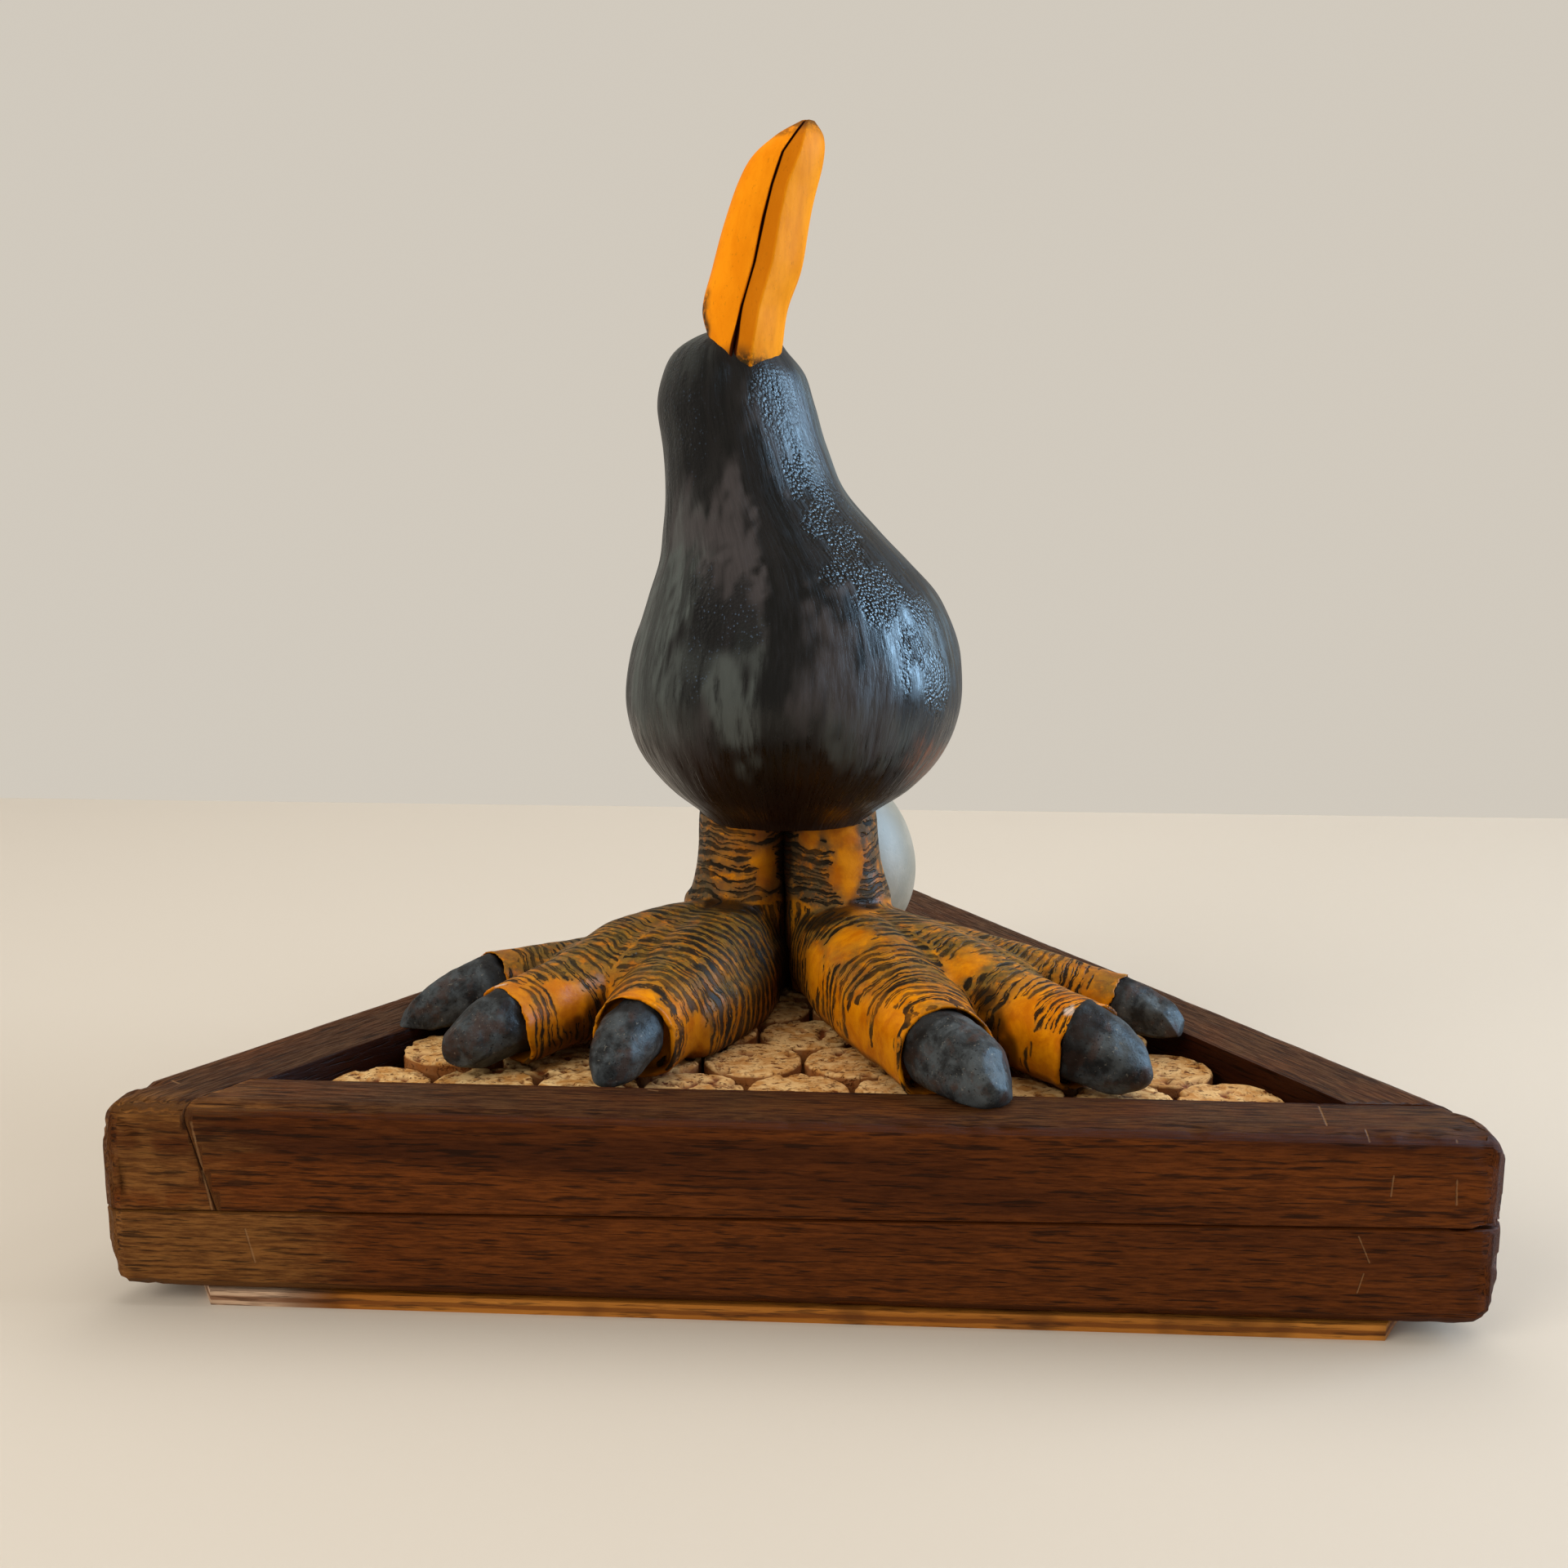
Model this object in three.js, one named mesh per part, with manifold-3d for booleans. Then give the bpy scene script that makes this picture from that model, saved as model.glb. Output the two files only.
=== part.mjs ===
// Bird sculpture: a glazed stoneware bird that throws its head back, standing on wine corks
// packed into a triangular wooden tray, with an egg behind its legs.
// Units are millimetres and +Z is up. The origin is on the table, under the middle of the triangle.
// The front rail of the tray faces -Y, and the bird's toes point that way.
import * as THREE from "three";
import { LoftGeometry } from "three/addons/geometries/LoftGeometry.js";
import { mergeVertices } from "three/addons/utils/BufferGeometryUtils.js";
import Module from "manifold-3d";

// The gap left between pieces that touch
const GAP = 0.3;

// The tray: an equilateral triangle in two glued layers of hardwood on a thin plywood base
const TRAY_SIDE = 305;
const PLY_THICKNESS = 3.5;
const PLY_INSET = 1.5;
const PLY_SIDE_LENGTH = 252;
const WOOD_HEIGHT = 43;
const RAIL_THICKNESS = { front: 16.5, right: 20.5, left: 22.5 };
const CORNER_RADIUS = 5;
const EDGE_ROUND = 4.2;
const GLUE_CHAMFER = 0.25;
const JOINT_SLANT = Math.atan(5.5 / 22);
const CORNER_POINTS = 5;
const ROUND_POINTS = 5;
const BAND_DEPTH = 60;
const RIM_TOP = PLY_THICKNESS + WOOD_HEIGHT;
const GLUE_LINE = PLY_THICKNESS + 20.5;
const GLUE_TILT = 0.0135;
const UPPER_MIDDLE = (GLUE_LINE + RIM_TOP) / 2;

// The corks: wine corks on end in close-packed rows, nine along each side. The one at the left
// end of the second row stands higher than the rest.
const CORK_ROWS = 9;
const CORK_DIAMETER = 23.6;
const CORK_PITCH = 24.1;
const CORK_RECESS = 4;
const CORK_SIDES = 14;
const CORK_UNEVENNESS = { top: 1, turn: 2.4 };
const CORK_START = 0.4;
const HIGH_CORK = { row: 1, place: 0, rise: 1.9 };
const CORK_TOP = RIM_TOP - CORK_RECESS;

// The plane that the feet and the egg rest on
const REST = CORK_TOP + GAP;

// The egg stands on its blunt end behind the legs
const EGG = { x: 4.9, y: 60.5, width: 48, height: 54, bluntness: 0.09 };
const EGG_FLAT = 0.8;
const EGG_SIDES = 20;
const EGG_RINGS = 14;

// A full turn, and the upward direction
const TURN = 2 * Math.PI;
const UP = new THREE.Vector3(0, 0, 1);

const wasm = await Module();
wasm.setup();

// A closed geometry as a solid that can be joined and cut
function solid(geometry) {
  const source = geometry.index ? geometry.toNonIndexed() : geometry;
  const bare = new THREE.BufferGeometry();
  bare.setAttribute("position", source.getAttribute("position"));
  const merged = mergeVertices(bare, 1e-3);
  const corners = merged.index.array;
  const kept = [];
  for (let i = 0; i < corners.length; i += 3) {
    const [a, b, c] = corners.slice(i, i + 3);
    if (a !== b && b !== c && c !== a) kept.push(a, b, c);
  }
  const vertProperties = merged.getAttribute("position").array;
  return new wasm.Manifold(new wasm.Mesh({ numProp: 3, vertProperties, triVerts: new Uint32Array(kept) }));
}

// A solid as the geometry of a mesh
function geometryOf(body) {
  const mesh = body.getMesh();
  const geometry = new THREE.BufferGeometry();
  geometry.setAttribute("position", new THREE.BufferAttribute(mesh.vertProperties, 3));
  geometry.setIndex(new THREE.BufferAttribute(mesh.triVerts, 1));
  return geometry;
}

// A loft with both ends closed
function loft(sections) {
  return solid(new LoftGeometry(sections, { capStart: true, capEnd: true }));
}

// The smooth curve through stations that are rows of numbers, for t from 0 to 1
function spline(rows, t) {
  const last = rows.length - 1;
  const at = Math.min(Math.max(t, 0), 1) * last;
  const i = Math.min(Math.floor(at), last - 1);
  const u = at - i;
  const row = (k) => rows[Math.min(Math.max(k, 0), last)];
  return rows[i].map((b, k) => {
    const [a, c, d] = [row(i - 1)[k], row(i + 1)[k], row(i + 2)[k]];
    const square = 2 * a - 5 * b + 4 * c - d;
    const cube = 3 * b - a - 3 * c + d;
    return b + 0.5 * u * (c - a + u * (square + u * cube));
  });
}

// A level oval ring of points
function levelRing(x, y, z, halfWidth, halfDepth, sides) {
  return Array.from({ length: sides }, (_, j) => {
    const angle = (TURN * j) / sides;
    return new THREE.Vector3(x + halfWidth * Math.cos(angle), y + halfDepth * Math.sin(angle), z);
  });
}

// The body from the hem at the legs to the crown: height, middle across, middle in depth, half
// width and half depth. The belly swells to the right and the head sits to the left.
const BODY = [
  [86.5, -6, 22, 21, 17],
  [91.5, -6, 22, 24, 21],
  [98.5, -5.6, 22, 33, 31],
  [107.5, -4.9, 22, 40.2, 39.5],
  [117, -4.6, 22, 43.6, 44],
  [126, -4.3, 22, 44.2, 45.5],
  [136, -4.2, 23, 42.4, 44],
  [147, -4.9, 24, 38.4, 40.5],
  [157, -7.5, 26, 32.7, 36],
  [165, -11, 28, 28.4, 31.5],
  [175, -15.3, 30, 23.7, 27],
  [186, -18.1, 32, 21.5, 23.8],
  [197, -20.6, 33, 20.6, 22],
  [205, -21.3, 34, 18.9, 20],
  [211, -22, 34, 15, 16.5],
  [215, -20.5, 34, 10.5, 12],
  [217.5, -19.5, 34, 4, 5],
];
const BODY_SIDES = 28;
const BODY_STEPS = 26;

function bodySolid() {
  const sections = [];
  for (let i = 0; i <= BODY_STEPS; i++) {
    const [z, x, y, halfWidth, halfDepth] = spline(BODY, i / BODY_STEPS);
    sections.push(levelRing(x, y, z, halfWidth, halfDepth, BODY_SIDES));
  }
  return loft(sections);
}

// The two legs, pressed together: height, middle across, half width and half depth
const RIGHT_LEG = [
  [41, 5.6, 12.6, 10],
  [52, 6.4, 13.6, 12],
  [66, 7.4, 14.4, 13.6],
  [74, 6.2, 13.6, 13],
  [80, 5.4, 13, 12.6],
  [96, 4.8, 12.2, 12.4],
];
const LEFT_LEG = [
  [41, -17.8, 11.6, 10],
  [52, -18.8, 12.6, 12],
  [65.5, -20.2, 14, 13.4],
  [70, -19.2, 12.8, 12.8],
  [76, -18.7, 12.2, 12.4],
  [96, -17.6, 11.4, 12.4],
];
const LEG_Y = 22;
const LEG_SIDES = 16;
const LEG_STEPS = 10;

function legSolid(stations) {
  const sections = [];
  for (let i = 0; i <= LEG_STEPS; i++) {
    const [z, x, halfWidth, halfDepth] = spline(stations, i / LEG_STEPS);
    sections.push(levelRing(x, LEG_Y, z, halfWidth, halfDepth, LEG_SIDES));
  }
  return loft(sections);
}

// The share of its full size that a limb has near a rounded end
function endShare(stepsFromEnd) {
  const reach = 2;
  const bluntness = 0.15;
  const short = Math.max(0, 1 - (stepsFromEnd + bluntness) / reach);
  return Math.sqrt(1 - short ** 2);
}

// A limb swept through stations of x, y, z, half width and half height. Its upper half is round,
// and its lower half has the given power: 1 is round too, and less is squarer.
function limbSolid(stations, { sides, steps, sole, roundStart = false, roundEnd = false }) {
  const sections = [];
  const point = (t) => new THREE.Vector3(...spline(stations, t).slice(0, 3));
  const step = 0.02;
  const powered = (value, power) => Math.sign(value) * Math.abs(value) ** power;
  for (let i = 0; i <= steps; i++) {
    const t = i / steps;
    const [, , , halfWidth, halfHeight] = spline(stations, t);
    const ahead = point(Math.min(t + step, 1)).sub(point(Math.max(t - step, 0))).normalize();
    const across = new THREE.Vector3().crossVectors(UP, ahead).normalize();
    const over = new THREE.Vector3().crossVectors(ahead, across);
    const scale = (roundStart ? endShare(i) : 1) * (roundEnd ? endShare(steps - i) : 1);
    const ring = [];
    for (let j = 0; j < sides; j++) {
      const angle = (TURN * j) / sides;
      const power = Math.sin(angle) < 0 ? sole : 1;
      const sideways = halfWidth * scale * powered(Math.cos(angle), power);
      const upwards = halfHeight * scale * powered(Math.sin(angle), power);
      ring.push(point(t).addScaledVector(across, sideways).addScaledVector(over, upwards));
    }
    sections.push(ring);
  }
  return loft(sections);
}

// The toes, from the ankle to the skin's edge round the claw, as stations of x, y, z, half width
// and half height, and each claw's tip
const TOES = {
  right_front: {
    path: [
      [5.5, 23, 55.5, 12.5, 13],
      [15.5, -9, 55.5, 14, 13.6],
      [24.2, -31, 54, 13.8, 12],
      [34, -62, 53, 10.8, 10.4],
    ],
    tip: [45.2, -80.5, 49.2],
  },
  right_middle: {
    path: [
      [7, 22, 55.5, 12, 12.5],
      [34, -12, 56, 12, 11.8],
      [50, -34, 54, 11, 10.6],
      [66.5, -55, 52.4, 10, 9.8],
    ],
    tip: [78.6, -60, 46.4],
  },
  right_back: {
    path: [
      [8, 24, 55.5, 12, 12],
      [30, 14, 54, 10.5, 9.8],
      [54, -4, 54, 8.4, 8.2],
      [78.5, -20.5, 51.9, 7.2, 7.2],
    ],
    tip: [92.4, -29, 47.8],
  },
  left_front: {
    path: [
      [-18.5, 23, 55.5, 12, 13],
      [-26, -10, 55.5, 13.6, 12.8],
      [-32.5, -33, 53.6, 12, 11.2],
      [-37.3, -54.5, 52.4, 10.2, 9.8],
    ],
    tip: [-41.4, -69.6, 46.6],
  },
  left_middle: {
    path: [
      [-18.5, 22, 55.5, 12, 12.5],
      [-42, -9, 57.4, 11.5, 12],
      [-55.5, -31, 54.6, 10.2, 10],
      [-68.5, -47, 52.2, 9.3, 9],
    ],
    tip: [-79.8, -56.5, 46.8],
  },
  left_back: {
    path: [
      [-19, 24, 55.5, 11.5, 11.5],
      [-38, 12, 54, 10, 9.4],
      [-58, -3, 52.8, 8.8, 8.4],
      [-78, -20, 53.4, 8.3, 8.4],
    ],
    tip: [-94.4, -32, 48.6],
  },
};
const TOE = { sides: 14, steps: 9, sole: 0.55, roundStart: true };
const CLAW = { sides: 12, steps: 6, sole: 0.8, roundEnd: true };
const CLAW_STATIONS = [0, 0.35, 0.7, 1];
const CLAW_ROOT = 5;
const CLAW_SHARE = 0.9;
const CLAW_TAPER = 0.58;
const CLAW_ARCH = 0.06;

function clawSolid({ path, tip }) {
  const [x, y, z, halfWidth, halfHeight] = path[path.length - 1];
  const base = new THREE.Vector3(x, y, z);
  const end = new THREE.Vector3(...tip);
  const ahead = end.clone().sub(base).normalize();
  const root = base.addScaledVector(ahead, -CLAW_ROOT);
  const stations = CLAW_STATIONS.map((t) => {
    const p = root.clone().lerp(end, t);
    const share = CLAW_SHARE * (1 - CLAW_TAPER * t ** 2.4);
    const arch = CLAW_ARCH * halfHeight * Math.sin(Math.PI * t);
    return [p.x, p.y, p.z + arch, halfWidth * share, halfHeight * share];
  });
  return limbSolid(stations, CLAW);
}

// The beak, from its root in the head to its tip: middle across, middle in depth, height, half
// width and half thickness
const BEAK = [
  [-19, 26, 196, 9, 8],
  [-17.3, 26, 211, 9.2, 9],
  [-17.6, 26, 221, 10.9, 9],
  [-14.7, 26.5, 231, 11.5, 8.8],
  [-11.5, 27, 245, 10.7, 8.2],
  [-7.4, 27.5, 257, 9.6, 7],
  [-4, 28, 263.5, 6.4, 5],
  [-1.7, 28, 267.5, 1.7, 1.8],
];
const BEAK_STEPS = 14;

// The beak's section, counter-clockwise from its right edge, as shares of half width and half
// thickness: the upper bill is the round left part, and a groove parts it from the lower bill
const BEAK_SECTION = [
  [1, 0.1],
  [0.8, 0.7],
  [0, 1],
  [-0.8, 0.6],
  [-1, 0],
  [-0.8, -0.6],
  [-0.16, -0.86],
  [-0.04, -0.74],
  [0.26, -1],
  [0.9, -0.45],
];

function beakSolid() {
  const sections = [];
  for (let i = 0; i <= BEAK_STEPS; i++) {
    const [x, y, z, halfWidth, halfDepth] = spline(BEAK, i / BEAK_STEPS);
    sections.push(BEAK_SECTION.map(([u, v]) => new THREE.Vector3(x + u * halfWidth, y + v * halfDepth, z)));
  }
  return loft(sections);
}

// A box solid of the given size round a middle, turned about Z and then tilted about its length
function boxSolid([length, depth, height], [x, y, z], turn = 0, tilt = 0) {
  const box = new THREE.BoxGeometry(length, depth, height);
  return solid(box.rotateX(tilt).rotateZ(turn).translate(x, y, z));
}

function birdGeometry() {
  let bird = bodySolid().add(legSolid(RIGHT_LEG)).add(legSolid(LEFT_LEG)).add(beakSolid());
  for (const toe of Object.values(TOES)) {
    bird = bird.add(limbSolid(toe.path, TOE)).add(clawSolid(toe));
  }
  bird = bird.subtract(boxSolid([TRAY_SIDE, TRAY_SIDE, REST], [0, 0, REST / 2]));
  for (const side of Object.keys(SIDES)) {
    bird = bird.subtract(bandSolid(side, -GAP, RIM_TOP + GAP));
  }
  return geometryOf(bird);
}

// The tray's sides: the angle of each one's outward normal
const SIDES = { front: -TURN / 4, right: TURN / 12, left: (5 * TURN) / 12 };
const INRADIUS = TRAY_SIDE / (2 * Math.sqrt(3));
const INNER_FRONT = -INRADIUS + RAIL_THICKNESS.front;

// The corner between two sides, each moved in by its own inset
function cornerBetween(a, insetA, b, insetB) {
  const middle = SIDES[a] + TURN / 6;
  const corner = new THREE.Vector2(Math.cos(middle), Math.sin(middle)).multiplyScalar(2 * INRADIUS);
  const step = 1 / Math.sin(TURN / 6);
  const alongA = new THREE.Vector2(-Math.sin(SIDES[a]), Math.cos(SIDES[a]));
  const alongB = new THREE.Vector2(-Math.sin(SIDES[b]), Math.cos(SIDES[b]));
  return corner.addScaledVector(alongA, -insetB * step).addScaledVector(alongB, insetA * step);
}

const CORNERS = [
  ["front", "right"],
  ["right", "left"],
  ["left", "front"],
];

// A level section of the tray's outside, moved in by an inset, with round corners
function traySection(z, inset) {
  const smallest = 0.6;
  const radius = Math.max(CORNER_RADIUS - inset, smallest);
  const points = [];
  for (const [a, b] of CORNERS) {
    const centre = cornerBetween(a, inset + radius, b, inset + radius);
    for (let i = 0; i < CORNER_POINTS; i++) {
      const angle = SIDES[a] + (TURN / 3) * (i / (CORNER_POINTS - 1));
      const x = centre.x + radius * Math.cos(angle);
      const y = centre.y + radius * Math.sin(angle);
      points.push(new THREE.Vector3(x, y, z));
    }
  }
  return points;
}

// One layer of the tray's frame, open in the middle, with one worn round edge. The glue line
// between the layers rises a little to the right.
function layerSolid(bottom, top, roundTop) {
  const [glued, toEdge] = roundTop ? [bottom, 1] : [top, -1];
  const edge = roundTop ? top : bottom;
  const profile = [
    { z: glued, inset: GLUE_CHAMFER, tilt: GLUE_TILT },
    { z: glued + toEdge * GLUE_CHAMFER, inset: 0, tilt: GLUE_TILT },
  ];
  for (let i = 0; i < ROUND_POINTS; i++) {
    const angle = (TURN / 4) * (i / (ROUND_POINTS - 1));
    const z = edge - toEdge * EDGE_ROUND * (1 - Math.sin(angle));
    profile.push({ z, inset: EDGE_ROUND * (1 - Math.cos(angle)), tilt: 0 });
  }
  if (!roundTop) profile.reverse();
  const tilted = ({ z, inset, tilt }) => traySection(z, inset).map((p) => p.setZ(p.z + tilt * p.x));
  const outside = loft(profile.map(tilted));
  const { front, right, left } = RAIL_THICKNESS;
  const hole = new THREE.Shape([
    cornerBetween("front", front, "right", right),
    cornerBetween("right", right, "left", left),
    cornerBetween("left", left, "front", front),
  ]);
  const well = new THREE.ExtrudeGeometry(hole, { depth: 2 * WOOD_HEIGHT, bevelEnabled: false });
  return outside.subtract(solid(well.translate(0, 0, -WOOD_HEIGHT / 2)));
}

// The band that a side's rail lies in, from its inner face outwards and below a given top. A
// positive inset moves the inner face outwards.
function bandSolid(side, inset, top = 2 * RIM_TOP) {
  const angle = SIDES[side];
  const distance = INRADIUS - RAIL_THICKNESS[side] + inset + BAND_DEPTH / 2;
  const height = 4 * RIM_TOP;
  const middle = [Math.cos(angle) * distance, Math.sin(angle) * distance, top - height / 2];
  return boxSolid([2 * TRAY_SIDE, BAND_DEPTH, height], middle, angle + TURN / 4);
}

// The same band with its inner face leaning over, round a line halfway up the upper layer
function slantedBand(side, inset) {
  const angle = SIDES[side];
  const distance = INRADIUS - RAIL_THICKNESS[side] + inset + BAND_DEPTH / 2 / Math.cos(JOINT_SLANT);
  const middle = [Math.cos(angle) * distance, Math.sin(angle) * distance, UPPER_MIDDLE];
  return boxSolid([2 * TRAY_SIDE, BAND_DEPTH, 4 * RIM_TOP], middle, angle + TURN / 4, JOINT_SLANT);
}

// The neighbours that each rail's ends butt against. The lower front rail runs through at both its
// corners, and the upper one meets the left rail in a slanted joint.
const LOWER_BUTTS = { front: [], right: ["front"], left: ["front", "right"] };
const UPPER_BUTTS = { front: [], right: ["front"], left: ["right"] };

function railSolid(layer, side, butts) {
  let rail = layer.intersect(bandSolid(side, GAP / 2));
  for (const against of butts[side]) rail = rail.subtract(bandSolid(against, -GAP / 2));
  return rail;
}

// The upper front rail ends at the slanted joint, and the upper left rail fills the corner past it
function upperRailSolid(layer, side) {
  const rail = railSolid(layer, side, UPPER_BUTTS);
  if (side === "front") return rail.subtract(slantedBand("left", -GAP / 2));
  if (side === "right") return rail;
  const corner = layer.intersect(bandSolid("front", -GAP / 2)).intersect(slantedBand("left", GAP / 2));
  return rail.subtract(bandSolid("front", -GAP / 2)).add(corner);
}

// The plywood base: a triangle with its corners cut square across
function plyGeometry() {
  const edge = INRADIUS - PLY_INSET;
  const points = Object.values(SIDES).flatMap((angle) => {
    const along = new THREE.Vector2(-Math.sin(angle), Math.cos(angle));
    const middle = new THREE.Vector2(Math.cos(angle), Math.sin(angle)).multiplyScalar(edge);
    const reach = PLY_SIDE_LENGTH / 2;
    return [-reach, reach].map((step) => middle.clone().addScaledVector(along, step));
  });
  const depth = PLY_THICKNESS - GAP / 2;
  return new THREE.ExtrudeGeometry(new THREE.Shape(points), { depth, bevelEnabled: false });
}

function eggGeometry() {
  const { x, y, width, height, bluntness } = EGG;
  const profile = [];
  for (let i = 0; i <= EGG_RINGS; i++) {
    const angle = -TURN / 4 + (TURN / 2) * (i / EGG_RINGS);
    const radius = (width / 2) * Math.cos(angle) * (1 - bluntness * Math.sin(angle));
    profile.push(new THREE.Vector2(i === 0 || i === EGG_RINGS ? 0 : radius, (height / 2) * Math.sin(angle)));
  }
  const middle = REST - EGG_FLAT + height / 2;
  const egg = new THREE.LatheGeometry(profile, EGG_SIDES).rotateX(TURN / 4).translate(x, y, middle);
  const underRest = boxSolid([TRAY_SIDE, TRAY_SIDE, REST], [0, 0, REST / 2]);
  return geometryOf(solid(egg).subtract(underRest));
}

function corkGeometry(index, rise) {
  const share = 0.5 + 0.5 * Math.sin(CORK_UNEVENNESS.turn * index * index);
  const drop = CORK_UNEVENNESS.top * share - rise;
  const bottom = PLY_THICKNESS + GAP / 2;
  const height = CORK_TOP - drop - bottom;
  const cork = new THREE.CylinderGeometry(CORK_DIAMETER / 2, CORK_DIAMETER / 2, height, CORK_SIDES);
  return cork.rotateX(TURN / 4).translate(0, 0, bottom + height / 2);
}

const sculpture = new THREE.Group();

function place(name, geometry, color, roughness, metalness = 0) {
  const material = new THREE.MeshStandardMaterial({ color, roughness, metalness });
  const mesh = new THREE.Mesh(geometry, material);
  mesh.name = name;
  sculpture.add(mesh);
  return mesh;
}

place("bird", birdGeometry(), 0x2a2829, 0.35, 0.2);

const lowerLayer = layerSolid(PLY_THICKNESS + GAP / 2, GLUE_LINE - GAP / 2, false);
const upperLayer = layerSolid(GLUE_LINE + GAP / 2, RIM_TOP, true);
for (const side of Object.keys(SIDES)) {
  place(`${side}_rail_lower`, geometryOf(railSolid(lowerLayer, side, LOWER_BUTTS)), 0x4b2d1d, 0.6);
  place(`${side}_rail_upper`, geometryOf(upperRailSolid(upperLayer, side)), 0x4b2d1d, 0.6);
}

place("plywood_base", plyGeometry(), 0xb08a58, 0.8);

const wellMiddle = cornerBetween("left", RAIL_THICKNESS.left, "front", RAIL_THICKNESS.front)
  .add(cornerBetween("front", RAIL_THICKNESS.front, "right", RAIL_THICKNESS.right))
  .multiplyScalar(0.5);
let corkCount = 0;
for (let row = 0; row < CORK_ROWS; row++) {
  for (let i = 0; i < CORK_ROWS - row; i++) {
    corkCount += 1;
    const high = row === HIGH_CORK.row && i === HIGH_CORK.place;
    const geometry = corkGeometry(corkCount, high ? HIGH_CORK.rise : 0);
    const cork = place(`cork_${String(corkCount).padStart(2, "0")}`, geometry, 0xc9a877, 0.9);
    const x = wellMiddle.x + CORK_PITCH * (i - (CORK_ROWS - row - 1) / 2);
    const y = INNER_FRONT + CORK_PITCH / 2 + CORK_START + CORK_PITCH * row * Math.sin(TURN / 6);
    cork.position.set(x, y, 0);
  }
}

place("egg", eggGeometry(), 0xa5acaa, 0.6);

export default sculpture;
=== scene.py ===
import math

import bmesh
import bpy
import numpy as np
from mathutils import Matrix, Vector


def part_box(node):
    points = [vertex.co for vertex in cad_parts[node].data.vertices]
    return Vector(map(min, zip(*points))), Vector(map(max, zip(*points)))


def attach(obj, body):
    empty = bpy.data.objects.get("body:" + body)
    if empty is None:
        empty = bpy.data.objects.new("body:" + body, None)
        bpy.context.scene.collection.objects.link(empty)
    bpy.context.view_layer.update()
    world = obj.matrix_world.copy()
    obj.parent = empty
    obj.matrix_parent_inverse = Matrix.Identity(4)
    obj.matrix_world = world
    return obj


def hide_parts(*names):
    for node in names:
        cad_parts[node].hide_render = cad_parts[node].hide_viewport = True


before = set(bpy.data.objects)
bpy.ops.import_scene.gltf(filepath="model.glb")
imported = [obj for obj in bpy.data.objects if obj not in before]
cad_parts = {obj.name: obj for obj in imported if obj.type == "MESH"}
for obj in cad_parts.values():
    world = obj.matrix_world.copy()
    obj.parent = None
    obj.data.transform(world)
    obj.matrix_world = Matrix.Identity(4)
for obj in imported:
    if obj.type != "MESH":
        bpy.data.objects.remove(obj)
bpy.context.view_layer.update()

# Sizes are given in millimetres and the scene is in metres
MM = 0.001
TAU = 2 * math.pi

# The plane that the feet and the egg rest on
REST = 42.8
# How close two points are, in metres, to be one
ONE_POINT = 1e-6
# The share of its length over which an oval tube closes at each end, and that of the beak
TUBE_CAP = 0.012
BEAK_CAP = 0.01
# The share of its length over which a toe or a web opens behind
LIMB_START = 0.08
# The angle over which a worn wooden edge still shows sharp
SHARP_ANGLE = math.radians(35)
# The noise draws its values from a table of this length, in an order that these primes shuffle
NOISE_VALUES = 4096
NOISE_PRIMES = np.array([73856093, 19349663, 83492791])


# Helpers for shapes


def spline(rows, shares):
    """The smooth curve through rows of numbers, at each share from 0 to 1."""
    rows = np.array(rows, float)
    last = len(rows) - 1
    at = np.clip(np.atleast_1d(shares), 0, 1) * last
    first = np.minimum(np.floor(at).astype(int), last - 1)
    u = (at - first)[:, None]
    a = rows[np.maximum(first - 1, 0)]
    b = rows[first]
    c = rows[first + 1]
    d = rows[np.minimum(first + 2, last)]
    square = 2 * a - 5 * b + 4 * c - d
    cube = 3 * b - a - 3 * c + d
    return b + 0.5 * u * (c - a + u * (square + u * cube))


def noise(points, size, seed):
    """Smooth noise from -1 to 1, with lumps of the given size."""
    table = np.random.default_rng(seed).uniform(-1, 1, NOISE_VALUES)
    cell = points / size
    base = np.floor(cell).astype(int)
    part = cell - base
    part = part * part * (3 - 2 * part)
    total = np.zeros(len(points))
    for corner in np.ndindex(2, 2, 2):
        index = np.bitwise_xor.reduce((base + corner) * NOISE_PRIMES, axis=1) % NOISE_VALUES
        total += table[index] * np.prod(np.where(corner, part, 1 - part), axis=1)
    return total


def rise(low, high, value):
    """0 below low and 1 above high, with a smooth rise between."""
    share = np.clip((value - low) / (high - low), 0, 1)
    return share * share * (3 - 2 * share)


def skin(bm, across, along, surface):
    """Wraps a grid into a closed tube. surface(turns, shares) gives the points in millimetres."""
    made = bmesh.ops.create_grid(bm, x_segments=across, y_segments=along, size=1)
    flat = np.array([vert.co[:] for vert in made["verts"]])
    points = surface((flat[:, 0] + 1) / 2, (flat[:, 1] + 1) / 2) * MM
    for vert, point in zip(made["verts"], points):
        vert.co = point
    bmesh.ops.remove_doubles(bm, verts=made["verts"], dist=ONE_POINT)


def closed_rows(rows, shares, cap):
    """The rows along a tube, and the share of full size there, which closes at both ends over a cap."""
    size = np.sqrt(np.clip(np.minimum(shares, 1 - shares) / cap, 0, 1))
    return spline(rows, (shares - cap) / (1 - 2 * cap)), size


def oval_tube(stations):
    """A surface through stations of x, y, z, half width and half depth, closed at both ends."""

    def surface(turns, shares):
        row, cap = closed_rows(stations, shares, TUBE_CAP)
        x = row[:, 0] + row[:, 3] * cap * np.cos(TAU * turns)
        y = row[:, 1] + row[:, 4] * cap * np.sin(TAU * turns)
        return np.stack([x, y, row[:, 2]], axis=1)

    return surface


def rounded(shares, reach):
    """The size of a round end that opens over the given reach of a tube."""
    return np.sqrt(np.clip(1 - (1 - np.clip(shares / reach, 0, 1)) ** 2, 0, 1))


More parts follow.
